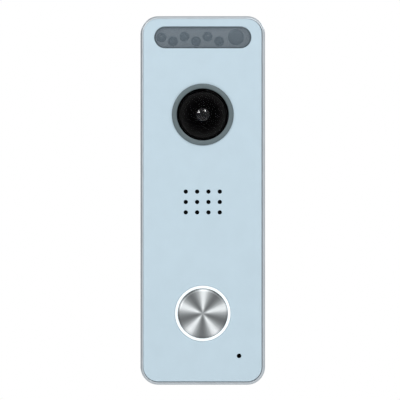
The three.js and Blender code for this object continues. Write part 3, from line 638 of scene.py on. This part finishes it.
def housing_shell():
    box = Spot("housing_shell")
    shell = swept("shell", shell_profile(box), box.outline(PANEL_CORNER, 20), 0.08)
    add(shell, *shell_posts(box))
    for screws, front, back in ((COVER_SCREWS, -14, 0), (BOARD_SCREWS, -18, -9)):
        cut(shell, *[rod("bore", 1.0, s, front, back, 0, 24) for s in screws])
    for slot in ((3.1, box.z0 - OVER, -59.0), (1.8, -59.5, LOCK_BOSS_HIGH + OVER)):
        cut(shell, *open_slot(*slot))
    stands_for(shell, box)


def grille_holes():
    """The places of the speaker's holes in the face plate."""
    box, pitch_x, pitch_z, radius = Spot("speaker_mesh"), 3.75, 3.43, 0.7
    for column in (-1.5, -0.5, 0.5, 1.5):
        for row in (-1, 0, 1):
            yield circle(radius, box.x + column * pitch_x, box.z + row * pitch_z, 32)


def face_plate():
    box, shell = Spot("face_plate"), Spot("housing_shell")
    corner = PANEL_CORNER - (shell.width - box.width) / 2
    window, bezel, ring, mic = (Spot(n) for n in ("ir_window", "camera_bezel", "light_ring", "microphone"))
    play, mic_hole = 0.1, 0.75
    width, height = WINDOW_WIDTH + 2 * play, WINDOW_HEIGHT + 2 * play
    holes = [
        rounded(width, height, height / 2, window.x, window.z, 16),
        circle(BEZEL_SEAT + play, bezel.x, bezel.z),
        circle(RING_OUTER + play, ring.x, ring.z),
        circle(mic_hole, mic.x, mic.z, 32),
        *grille_holes(),
    ]
    sheet("faceplate", box, corner, 20, holes, 0.12)


def wall_seal():
    """A soft ring with a lip against the wall and a drain gap at the bottom."""
    box = Spot("wall_seal")
    outer = box.outline(PANEL_CORNER - 0.3, 20)
    groove = (box.front + box.back) / 2
    lips = [(0, box.back), (0.5, box.back), (0.7, groove), (0.9, box.back), (1.4, box.back)]
    seal = swept("seal", [(0.15, box.front), *lips, (1.4, box.front)], outer, 0.12)
    cut(seal, lump("drain", around(0, 4.5), (-2, OVER), (box.z0 - OVER, box.z0 + 3), 0))
    stands_for(seal, box)


def rear_cover():
    box = Spot("rear_cover")
    terminal, trimmer, play = Spot("terminal_block"), Spot("trimmer_rotor"), 1.2
    holes = [
        rounded(terminal.width + play, terminal.height + play, play, terminal.x, terminal.z, 8),
        circle(trimmer.r + 0.4, trimmer.x, trimmer.z, 48),
        *(circle(1.25, s.x, s.z, 32) for s in COVER_SCREWS),
    ]
    cover = plate("cover", box.outline(PANEL_CORNER - 1.95, 16), COVER_FRONT, box.back, holes, 0.12)
    add(cover, lump("well", (-6.6, 6.6), (box.front, COVER_FRONT + 0.5), (-58.9, -53.0), 0.2))
    well = lump("well_inside", (-5.6, 5.6), (box.front + 1, OVER), (-62, -54.0), 0)
    recess = plate("recess", rounded(24, 30, 2, 0, 22, 8), box.back - 0.5, OVER, (), 0)
    sinks = [rod("sink", 2.35, s, box.back - 1.0, 0) for s in COVER_SCREWS]
    stands_for(cut(cover, well, recess, *sinks), box)


def cross_screw(box, head_radius, head_depth):
    """A pan-head screw along Y with a thread and a cross recess at the back."""
    shank, root, pitch, tip = 0.9, 0.78, 0.5, 0.6
    neck = box.back - head_depth
    profile = [(0, box.back), (0, box.front), (0.55, box.front), (shank, box.front + tip)]
    for k in range(int((neck - box.front - tip - 0.3) / pitch)):
        y = box.front + tip + k * pitch
        profile += [(shank, y + 0.2 * pitch), (root, y + 0.5 * pitch), (shank, y + 0.8 * pitch)]
    crown = [(head_radius, neck), (head_radius, box.back - 0.35), (head_radius * 0.75, box.back - 0.08)]
    screw = turned(box.node + "_look", [*profile, (shank, neck), *crown], box, 0.04, 48)
    reaches, depth = (head_radius * 0.62, 0.25), (box.back - 0.6, box.back + OVER)
    for a, b in (reaches, reversed(reaches)):
        cut(screw, lump("recess", around(box.x, a), depth, around(box.z, b), 0))
    stands_for(screw, box)


# ---- infrared window ----


def ir_window():
    """A pane that stands in the face plate, on a wider flange behind it."""
    box = Spot("ir_window")
    pane = rounded(WINDOW_WIDTH, WINDOW_HEIGHT, WINDOW_HEIGHT / 2, box.x, box.z, 24)
    flange = box.outline(box.height / 2, 24)
    levels = [(pane(0.12), box.front), (pane(0.05), box.front + 0.02), (pane(), box.front + 0.12)]
    levels += [(pane(), LEDGE_FRONT - 0.01), (flange(), LEDGE_FRONT), (flange(), box.back)]
    bm = bmesh.new()
    rings = skin(bm, [[(x, y, z) for x, z in loop] for loop, y in levels], closed=False)
    cap(bm, rings[0])
    cap(bm, rings[-1])
    stands_for(finished("window", bm), box)


def led_holder():
    box, cell = Spot("led_holder"), Spot("photocell")
    holes = [circle(1.65, s.x, s.z, 48) for s in LAMPS]
    holes.append(circle(cell.r + 0.15, cell.x, cell.z, 64))
    sheet("lamp_holder", box, box.height / 2, 16, holes, 0.1)


def ir_led(box):
    radius, rim = 1.5, box.back - 1.0
    dome = [(radius * sine, box.front + radius * (1 - cosine)) for sine, cosine in quarter(8)]
    profile = [*dome, (radius, rim), (box.r, rim), (box.r, box.back), (0, box.back)]
    lathed(box.node + "_look", profile, box, 0.08, 48)


def photocell():
    box = Spot("photocell")
    base = -21.0
    lens = [(0, box.front), (1.9, box.front), (2.05, box.front + 0.12), (2.3, box.front + 0.12)]
    can = [(box.r, box.front + 0.3), (box.r, base), (0, base)]
    cell = turned("light_cell", lens + can, box, 0.08, 64)
    legs = [box.x - 1.7, box.x + 1.7]
    add(cell, *(bar("leg", 0.25, (x, base - 0.4, box.z), (x, box.back, box.z), 0, 16) for x in legs))
    stands_for(cell, box)


def led_board():
    """The lamps' board, with a pair of holes for each lamp."""
    box = Spot("led_board")
    holes = []
    for lamp in LAMPS:
        holes += [circle(0.4, x, lamp.z, 16) for x in (lamp.x - 1.27, lamp.x + 1.27)]
    sheet("lamp_board", box, 1, 8, holes)


# ---- camera ----

PIVOT_Y = -17.5


def camera_bezel():
    box = Spot("camera_bezel")
    opening, lip, bore, rim_back = 8.6, 8.1, 8.65, -26.05
    rim = [(opening, box.front), (box.r, box.front), (box.r, rim_back), (BEZEL_SEAT, rim_back)]
    seat = [(BEZEL_SEAT, box.back), (bore, box.back), (bore, -24.9), (lip, -24.9), (lip, -25.2)]
    lathed("bezel", [*rim, *seat, (opening, -25.2)], box, 0.22, 160)


def disc(name, spot, bore=0.0, fillet=0.1, n=ROUND):
    """A flat disc or washer with rounded edges, as thick as its spot."""
    return turned(name, band(bore, spot.r, *spot.deep), spot, fillet, n)


def flat_ring(node, name, bore, fillet, n=ROUND):
    box = Spot(node)
    stands_for(disc(name, box, bore, fillet, n), box)


def pivot_bars(radius, reach, z, bevel):
    """A round bar each side along the tilt axis."""
    for side in (-1, 1):
        yield bar("pivot", radius, (side * 13, PIVOT_Y, z), (side * reach, PIVOT_Y, z), bevel)


def camera_yoke():
    """A chassis plate with the lens opening, whose two ears carry the tilt pins."""
    box = Spot("camera_yoke")
    yoke = plate("yoke", box.outline(2, 8), box.front, box.front + 1, [circle(9.6, box.x, box.z)])
    ears = [(around(side * 14.5, 0.5), (box.front + 0.65, box.back), around(box.z, 3.4)) for side in (-1, 1)]
    add(yoke, lumps("ears", ears, 0.2))
    stands_for(cut(yoke, *pivot_bars(1.4, 16, box.z, 0)), box)


def camera_cradle():
    """The tilting frame: a square ring behind the sensor board, two arms and two pins."""
    box = Spot("camera_cradle")
    ring = rounded(27.1, box.height, 1, box.x, box.z, 6)
    cradle = plate("cradle", ring, box.back - 1, box.back, [rounded(17, 17, 1, box.x, box.z, 6)])
    arms = [(around(side * 12.95, 0.6), (box.front, box.back - 0.5), around(box.z, 4)) for side in (-1, 1)]
    add(cradle, lumps("arms", arms, 0.2), *pivot_bars(1.3, box.x1, box.z, 0.2))
    stands_for(cradle, box)


def lens_barrel():
    """The barrel's mouth is a ridged cone that leads down to the seat of the front lens."""
    box, lens = Spot("lens_barrel"), Spot("front_lens")
    seat, rim, well, depth, shoulder, neck = lens.r + 0.1, 7.55, -20.9, -21.8, -20.2, 5.9
    ridges = 12
    slope = []
    for k in range(ridges):
        for share, sink in ((0.0, 0.0), (0.7, 0.0), (0.85, 0.05)):
            t = (k + share) / ridges
            slope.append((seat + t * (rim - seat), depth - (depth - box.front) * t**1.3 + sink))
    mouth = [(0, well), (2.6, well), (seat - 0.6, -21.4), (seat, -21.4), *slope, (rim, box.front)]
    outside = [(box.r, box.front + 0.2), (box.r, shoulder), (neck, shoulder), (neck, box.back)]
    lathed("barrel", [*mouth, *outside, (0, box.back)], box, 0.03, 128)


def domed(name, spot, radius, front, back, steps=20):
    """A plano-convex lens that bulges to the front."""
    rise = back - front
    curve = (radius**2 + rise**2) / (2 * rise)
    dome = []
    for k in range(steps + 1):
        r = radius * k / steps
        dome.append((r, front + curve - math.sqrt(curve**2 - r**2)))
    return turned(name, [*dome, (0, back)], spot, 0)


def front_lens():
    """The front lens, the ring that holds it, and the second lens that shows through it."""
    box = Spot("front_lens")
    stands_for(domed("lens", box, box.r, box.front, box.back), box)
    front = [(2.25, -22.41), (2.3, -22.53), (3.2, -22.32), (4.08, -22.0)]
    back = [(4.08, -21.52), (3.95, -21.52), (3.2, -22.0)]
    lathed("lens_ring", front + back, box, 0.03, slot="baffle_black")
    coated = grained("inner_lens", (0.006, 0.008, 0.012), 0.08, 0.0, 0.8, 0.0005, 0.2, 0.02)
    second = domed("second_lens", box, 2.3, box.back + 0.02, box.back + 0.5)
    stands_for(second, box, material=coated)


def lens_holder():
    """A collar round the barrel's neck on a square foot."""
    box = Spot("lens_holder")
    foot_front, collar = box.back - 1, 7.4
    hole = rounded(9, 9, 0.6, box.x, box.z, 6)
    foot = plate("lens_foot", box.outline(1, 6), foot_front, box.back, [hole])
    profile = band(6.0, collar, box.front, foot_front + 0.3)
    stands_for(add(foot, turned("collar", profile, box, 0.2)), box)


def sensor_board():
    box, sensor = Spot("sensor_board"), Spot("image_sensor")
    sheet("camera_board", box, 1, 6, [circle(0.8, x, z, 24) for x, z in corners(box, 10.5)])
    package = lump("sensor_package", sensor.across, (sensor.front + 0.1, sensor.back), sensor.up)
    stands_for(package, sensor, slot="black_plastic")
    face = rounded(4.8, 3.6, 0.2, sensor.x, sensor.z, 4)
    stands_for(plate("sensor_face", face, sensor.front, sensor.front + 0.2, (), 0.03), sensor)


def camera_plug():
    """A wafer socket with six pins that opens to the back."""
    box = Spot("camera_plug")
    floor = box.front + 0.5
    plug = lump("plug", box.across, box.deep, box.up, 0.12)
    cut(plug, lump("mouth", (box.x0 + 0.6, box.x1 - 0.6), (floor, OVER), (box.z0 + 0.5, box.z1 - 0.5), 0))
    y, z = (floor - 0.2, box.back - 0.3), around(box.z, 0.15)
    pins = [(around(box.x - 2.5 + pin, 0.15), y, z) for pin in range(6)]
    stands_for(add(plug, lumps("pins", pins, 0.03)), box)


# ---- speaker and microphone ----


def speaker_mesh():
    """A screen with square holes, whose edge is held in a rim."""
    box = Spot("speaker_mesh")
    pitch, wire, edge = 0.3, 0.12, 10.3
    stands_for(disc("screen_rim", box, edge, 0.05), box)
    bm = bmesh.new()
    count = 2 * math.ceil(edge / pitch) + 3
    start = -count * pitch / 2
    grid = {}

    def corner(i, j):
        if (i, j) not in grid:
            place = (box.x + start + i * pitch, box.y - wire / 2, box.z + start + j * pitch)
            grid[i, j] = bm.verts.new(Vector(place) * MM)
        return grid[i, j]

    for i in range(count):
        for j in range(count):
            out = math.hypot(start + (i + 0.5) * pitch, start + (j + 0.5) * pitch)
            is_hole = i % 2 and j % 2 and out < edge - pitch
            if out < edge + pitch and not is_hole:
                bm.faces.new([corner(i, j), corner(i + 1, j), corner(i + 1, j + 1), corner(i, j + 1)])
    screen = finished("screen", bm)
    thick = screen.modifiers.new("thickness", "SOLIDIFY")
    thick.thickness, thick.offset = wire * MM, 0
    stands_for(screen, box)


def speaker_frame():
    """A pressed basket with a flat rim."""
    box = Spot("speaker_frame")
    floor, rim_back = -19.8, box.front + 1
    inside = [(0, floor), (6.2, floor), (9.5, box.front), (box.r, box.front)]
    outside = [(box.r, rim_back), (10.3, rim_back), (7.2, box.back), (0, box.back)]
    lathed("basket", inside + outside, box, 0.3)


def speaker_cone():
    """A dust cap, the paper cone and its rolled surround."""
    box = Spot("speaker_cone")
    cap_front = [(0, 1.2), (0.8, 1.25), (1.6, 1.4), (3.0, 2.3), (4.0, 1.9)]
    roll = [(7.2, 0.7), (7.7, 0.15), (8.3, 0.0), (8.8, 0.1), (box.r, 0.2), (9.1, 0.4), (8.6, 0.45)]
    back = [(8.2, 0.3), (7.6, 0.6), (7.3, 1.0), (4.0, 2.4), (3.0, 2.8), (1.6, 1.9), (0, 1.7)]
    profile = [(r, box.front + y) for r, y in cap_front + roll + back]
    lathed("cone", profile, box, 0.25)


def speaker_magnet():
    """A ring magnet between its front and back plates."""
    box = Spot("speaker_magnet")
    joints = (box.front + 0.8, box.back - 0.8)
    profile = [(0, box.front), (box.r - 0.15, box.front)]
    for y in joints:
        profile += [(box.r - 0.15, y - 0.1), (box.r - 0.35, y), (box.r, y + 0.1)]
    profile += [(box.r, box.back), (1.2, box.back), (1.0, box.back - 0.6), (0, box.back - 0.6)]
    lathed("magnet", profile, box, 0.1)


def speaker_clamp():
    box = Spot("speaker_clamp")
    bore, lip, lip_front = 11.6, 10.5, -22.2
    outside = [(bore, box.front), (box.r, box.front), (box.r, box.back)]
    inside = [(lip, box.back), (lip, lip_front), (bore, lip_front)]
    lathed("clamp", outside + inside, box, 0.2)


def microphone():
    """A can with a rolled rear edge and a felt disc in its mouth."""
    box = Spot("microphone")
    felt = 2.5
    front = [(0, box.front + 0.15), (felt, box.front + 0.15), (felt, box.front), (box.r, box.front)]
    back = [(box.r, box.back - 0.3), (box.r - 0.3, box.back), (2.3, box.back), (2.3, box.back - 0.3)]
    lathed("capsule", [*front, *back, (0, box.back - 0.3)], box, 0.08, 64)
    profile = band(0, felt - 0.03, box.front + 0.03, box.front + 0.14)
    lathed("felt", profile, box, 0.03, 64, "speaker_paper")


def microphone_boot():
    box, mic = Spot("microphone_boot"), Spot("microphone")
    bore, floor = mic.r + 0.1, mic.front - 0.05
    outside = [(0.8, box.front), (box.r, box.front), (box.r, box.back)]
    inside = [(bore, box.back), (bore, floor), (0.8, floor)]
    lathed("boot", outside + inside, box, 0.2, 64)


# ---- call button ----


def light_ring():
    box = Spot("light_ring")
    inner = 8.25
    rim = [(inner, box.front), (RING_OUTER, box.front), (RING_OUTER, LEDGE_FRONT)]
    flange = [(box.r, LEDGE_FRONT), (box.r, box.back), (inner, box.back)]
    lathed("ring", rim + flange, box, 0.14, 128)


def backlight_board():
    box = Spot("backlight_board")
    board_front, bore, reach = box.back - 0.8, 8.35, 9.35
    lathed("backlight", band(bore, box.r, board_front, box.back), box, 0.08)
    lamps = []
    for dx, dz in ((reach, 0), (0, reach), (-reach, 0), (0, -reach)):
        lamps.append((around(box.x + dx, 0.6), (box.front, board_front), around(box.z + dz, 0.6)))
    stands_for(lumps("backlight_lamps", lamps, 0.08), box, slot="ivory_plastic")


def button_cap():
    """A slightly dished cap with a rounded rim, hollow at the back."""
    box = Spot("button_cap")
    dish, skirt, crown = 0.12, 7.4, -25.4
    face = [(0, box.front + dish), (box.r * 0.5, box.front + dish * 0.7), (box.r - 0.75, box.front)]
    rim = [(box.r - 0.45, box.front + 0.04), (box.r - 0.12, box.front + 0.22), (box.r, box.front + 0.5)]
    inside = [(box.r, box.back), (skirt, box.back), (skirt, crown), (0, crown)]
    lathed("cap", face + rim + inside, box, 0.1, 160)


def button_plunger():
    box = Spot("button_plunger")
    head_back, stem, catch_front = -24.3, 2.2, -17.9
    head = [(0, box.front), (box.r, box.front), (box.r, head_back), (stem, head_back)]
    tip = [(stem, catch_front), (2.8, catch_front), (stem, box.back), (0, box.back)]
    lathed("plunger", head + tip, box, 0.15)


def button_spring():
    """The return spring, which shortens by the button's travel when the button is pressed."""
    box = Spot("button_spring")
    spring = stands_for(coil("spring", box, 3.4, 0.3, 4), box)
    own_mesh(spring)


def button_guide():
    """A cup that guides the stem and seats the spring, on four posts from the board."""
    box = Spot("button_guide")
    bore, stem_bore, floor, cup_back, reach = 9.2, 2.4, -20.0, -18.9, 8.8
    outside = [(bore, box.front), (box.r, box.front), (box.r, cup_back), (stem_bore, cup_back)]
    guide = turned("guide", [*outside, (stem_bore, floor), (bore, floor)], box, 0.15)
    posts = []
    for eighth in (1, 3, 5, 7):
        x, z = box.x + reach * math.cos(eighth * TURN / 8), box.z + reach * math.sin(eighth * TURN / 8)
        posts.append(bar("post", 1.1, (x, cup_back - 0.3, z), (x, box.back, z), 0.1, 32))
    stands_for(add(guide, *posts), box)


def tact_switch():
    """The switch under the button: a moulded body with a riveted top, and its plunger."""
    box, plunger = Spot("switch_body"), Spot("switch_plunger")
    body = lump("switch", box.across, (box.front + 0.1, box.back), box.up, 0.15)
    top = box.front + 0.3
    rivets = [bar("rivet", 0.4, (x, box.front, z), (x, top, z), 0.05, 24) for x, z in corners(box, 2.4)]
    add(body, *rivets)
    cut(body, rod("well", 1.85, box, box.front - OVER, -13.2))
    stands_for(body, box)
    r = plunger.r
    tip = [(0, plunger.front), (r - 0.3, plunger.front), (r, plunger.front + 0.3)]
    root = [(r, plunger.back), (0, plunger.back)]
    lathed("switch_stem", tip + root, plunger, 0.1, 48)


# ---- boards and terminals ----


def main_board():
    box = Spot("main_board")
    places = [(s.x, s.z) for s in BOARD_SCREWS] + [(-13, -51), (13, -51)]
    sheet("board", box, 1.5, 6, [circle(1.1, x, z, 32) for x, z in places])


def board_parts():
    """The small parts on the back of the main board."""
    box = Spot("main_board")
    back = box.back

    def blocks(height, half_x, half_z, *places):
        return [(around(x, half_x), (back, back + height), around(z, half_z)) for x, z in places]

    spots = [(x, z) for x in (-12, -9, 9, 12) for z in (-9, -11, -13)]
    stands_for(lumps("resistors", blocks(0.5, 0.8, 0.4, *spots), 0.08), box, slot="black_plastic")
    chips = lumps("driver_chips", blocks(1.4, 2.5, 2, (9.5, -36)) + blocks(1.2, 2, 1.5, (10, -44)), 0.12)
    stands_for(chips, box, slot="black_plastic")
    sockets = blocks(2.4, 5, 1.6, (0, -31)) + blocks(2.4, 2.2, 1.6, (-11, -26))
    mouths = []
    for (x0, x1), _, (z0, z1) in sockets:
        mouths.append(((x0 + 0.5, x1 - 0.5), (back + 0.8, OVER), (z0 + 0.4, z1 - 0.4)))
    plugs = cut(lumps("board_sockets", sockets, 0.12), lumps("mouths", mouths, 0))
    stands_for(plugs, box, slot="ivory_plastic")


def processor_chip():
    """A moulded package with a dot at pin one, and its leads."""
    box = Spot("processor_chip")
    half, pitch, lead = box.r - 0.6, 0.8, 0.15
    package = lump("chip", around(box.x, half), (box.front + 0.1, box.back), around(box.z, half), 0.12)
    dot = (box.x - half + 0.9, box.z + half - 0.9)
    cut(package, bar("dot", 0.35, (dot[0], box.back - 0.1, dot[1]), (dot[0], 0, dot[1]), 0, 24))
    stands_for(package, box)
    leads = []
    for k in range(-4, 5):
        for side in (-1, 1):
            tip = sorted((side * (half - 0.2), side * box.r))
            across, height = around(k * pitch, lead), (box.front, box.front + 0.3)
            leads.append((tuple(box.x + t for t in tip), height, tuple(box.z + t for t in across)))
            leads.append((tuple(box.x + t for t in across), height, tuple(box.z + t for t in tip)))
    stands_for(lumps("leads", leads, 0.03, 1), box, slot="plated_steel")


def capacitor():
    """An aluminium can with a crimped neck and a rim round its top."""
    box = Spot("capacitor")
    r, neck = box.r, box.back - 1.4
    top = [(0, box.front + 0.15), (r - 0.7, box.front + 0.15), (r - 0.5, box.front), (r - 0.15, box.front)]
    crimp = [(r, neck - 0.5), (r - 0.3, neck - 0.2), (r - 0.3, neck + 0.2), (r, neck + 0.5)]
    side = [(r, box.front + 0.25), *crimp, (r, box.back), (0, box.back)]
    lathed("can", top + side, box, 0.08, 64)


def terminal_block():
    box = Spot("terminal_block")
    block = lump("terminals", box.across, box.deep, box.up, 0.2)
    wells = [rod("well", 1.35, s, box.back - 2.2, OVER) for s in TERMINALS]
    wire_row = box.z - 2.2
    wires = [(around(s.x, 1.1), (box.back - 5.5, OVER), around(wire_row, 1.3)) for s in TERMINALS]
    stands_for(cut(block, *wells, lumps("wire_wells", wires, 0)), box)


def slotted(box, half_length, half_width, depth):
    """A round head along Y with a straight slot across its back."""
    reach = (box.back - depth, box.back + OVER)
    slot = lump("slot", around(box.x, half_length), reach, around(box.z, half_width), 0)
    stands_for(cut(disc(box.node + "_look", box, 0, 0.12, 48), slot), box)


def trimmer():
    box = Spot("trimmer_body")
    body = lump("trimmer", box.across, box.deep, box.up, 0.2)
    stands_for(cut(body, rod("well", 2.05, box, -8.8, OVER, 0, 64)), box)
    slotted(Spot("trimmer_rotor"), 1.4, 0.3, 0.6)


# ---- bracket ----


def wall_bracket():
    """A pressed sheet with two ribs, a hook at the top and a foot at the bottom."""
    box = Spot("wall_bracket")
    top, bottom, hook = 58.4, -57.1, -4.6
    outline = rounded(box.width, top - bottom, 3, 0, (top + bottom) / 2, 10)
    slots = [rounded(4.5, 9, 2.25, 0, z, 16) for z in (42, -42)]
    bracket = plate("bracket", outline, -1.2, box.back, [rounded(20, 26, 3, 0, -19, 10), *slots], 0.15)
    add(
        bracket,
        lump("hook", around(0, 8), (hook, -0.2), (top - 1.2, top)),
        lump("lip", around(0, 8), (hook, hook + 1), (top - 1.0, box.z1)),
        lump("foot", around(0, 4.5), (box.front, -0.2), (bottom, bottom + 1.2)),
        *(lump("rib", around(x, 0.7), (-2.0, -0.5), (-38, 38), 0.25) for x in (-13, 13)),
    )
    bore = bar("lock_bore", 1.6, (0, LOCK_Y, bottom - OVER), (0, LOCK_Y, bottom + 2), 0)
    stands_for(cut(bracket, bore), box)


def lock_screw():
    """A socket-head screw that points up through the bracket's foot."""
    box = Spot("lock_screw")
    neck = -59.1
    head = bar("lock_screw_look", box.r, (box.x, box.y, box.z0), (box.x, box.y, neck), 0.25, 64)
    add(head, bar("shank", 1.5, (box.x, box.y, neck - 0.4), (box.x, box.y, box.z1), 0.2))
    socket = bar("socket", 1.3, (box.x, box.y, box.z0 - OVER), (box.x, box.y, box.z0 + 1.1), 0, 6)
    stands_for(cut(head, socket), box)


# ---- stage ----

ROOM_LEVEL = 0.355
ROOM = {(1, 0, 0): 0.30, (0, 0, 1): 0.24, (0, -1, 0): 0.12}  # how much lighter towards each side
CAMERA_DISTANCE = 1.5
VIEW_WIDTH = 0.1322  # what the view spans at the front face
AIM_X, AIM_Z = -0.00092, 0.00016
LIGHT_AIM, LIGHT_DISTANCE = Vector((0, -0.026, 0.028)), 0.9
FLOOR_Z = -0.16


def make_camera():
    data = bpy.data.cameras.new("camera")
    data.lens = data.sensor_width * CAMERA_DISTANCE / VIEW_WIDTH
    data.clip_end = 20
    camera = placed("camera", data)
    camera.location = (AIM_X, CAD_BOX[0][1] - CAMERA_DISTANCE, AIM_Z)
    camera.rotation_euler = (math.pi / 2, 0, 0)
    bpy.context.scene.camera = camera


def area_light(name, direction, size, power):
    """A square softbox that faces the panel from a direction."""
    data = bpy.data.lights.new(name, "AREA")
    data.energy, data.size = power, size
    light = placed(name, data)
    light.location = LIGHT_AIM + Vector(direction).normalized() * LIGHT_DISTANCE
    light.rotation_euler = (LIGHT_AIM - light.location).to_track_quat("-Z", "Y").to_euler()


def make_lights():
    area_light("left", (-0.388, -0.875, 0.291), 0.17, 2.3)
    area_light("right", (0.228, -0.881, 0.414), 0.17, 2.3)
    area_light("rear_left", (-0.5, 0.8, 0.35), 0.35, 1.5)
    area_light("rear_right", (0.5, 0.8, 0.35), 0.35, 1.5)


def room_light(tree, direction):
    """How bright the room is in each direction."""
    link = tree.links.new
    total = tree.nodes.new("ShaderNodeValue").outputs[0]
    total.default_value = ROOM_LEVEL
    for side, share in ROOM.items():
        dot = new_node(tree, "ShaderNodeVectorMath", {1: side}, operation="DOT_PRODUCT")
        term = new_node(tree, "ShaderNodeMath", {1: share}, operation="MULTIPLY_ADD")
        link(direction, dot.inputs[0])
        link(dot.outputs["Value"], term.inputs[0])
        link(total, term.inputs[2])
        total = term.outputs[0]
    kept = new_node(tree, "ShaderNodeClamp", {"Min": 0.02})
    link(total, kept.inputs["Value"])
    return kept.outputs[0]


def make_world():
    """White to the camera; a soft room, lighter above, to everything else."""
    world = bpy.data.worlds.new("studio")
    bpy.context.scene.world = world
    world.use_nodes = True
    tree = world.node_tree
    link = tree.links.new
    tree.nodes.clear()
    seen = new_node(tree, "ShaderNodeBackground", {"Color": (1, 1, 1, 1)})
    room = new_node(tree, "ShaderNodeBackground", {"Color": (0.97, 0.985, 1, 1)})
    place, path = tree.nodes.new("ShaderNodeTexCoord"), tree.nodes.new("ShaderNodeLightPath")
    mix, out = tree.nodes.new("ShaderNodeMixShader"), tree.nodes.new("ShaderNodeOutputWorld")
    link(room_light(tree, place.outputs["Generated"]), room.inputs["Strength"])
    link(path.outputs["Is Camera Ray"], mix.inputs[0])
    link(room.outputs[0], mix.inputs[1])
    link(seen.outputs[0], mix.inputs[2])
    link(mix.outputs[0], out.inputs[0])


def make_floor():
    bm = bmesh.new()
    bmesh.ops.create_grid(bm, x_segments=8, y_segments=8, size=1.2)
    floor = finished("floor", bm)
    floor.location = (0, 0, FLOOR_Z)
    paint = Paint("floor", (0.86, 0.86, 0.86), 0.7)
    paint.tint(paint.noise(60.0, 3), 0.01)
    floor.data.materials.append(paint.material)


# ---- the whole panel ----

bpy.context.scene.view_settings.view_transform = "Standard"
make_camera()
make_world()
make_lights()
make_floor()

housing_shell()
face_plate()
wall_seal()
rear_cover()
for screw in COVER_SCREWS:
    cross_screw(screw, 2.05, 1.05)
ir_window()
led_holder()
for lamp in LAMPS:
    ir_led(lamp)
photocell()
led_board()

camera_bezel()
flat_ring("camera_glass", "pane", 0, 0.12, 128)
flat_ring("glass_gasket", "gasket", 8.1, 0.06, 128)
camera_yoke()
camera_cradle()
lens_barrel()
front_lens()
lens_holder()
sensor_board()
camera_plug()

speaker_mesh()
flat_ring("speaker_gasket", "foam_ring", 9.4, 0.2)
speaker_frame()
speaker_cone()
speaker_magnet()
speaker_clamp()
microphone()
microphone_boot()

light_ring()
backlight_board()
button_cap()
button_plunger()
button_spring()
button_guide()
tact_switch()

main_board()
board_parts()
for screw in BOARD_SCREWS:
    cross_screw(screw, 1.9, 1.1)
processor_chip()
capacitor()
terminal_block()
for screw in TERMINALS:
    slotted(screw, 2.5, 0.2, 0.5)
trimmer()

wall_bracket()
lock_screw()
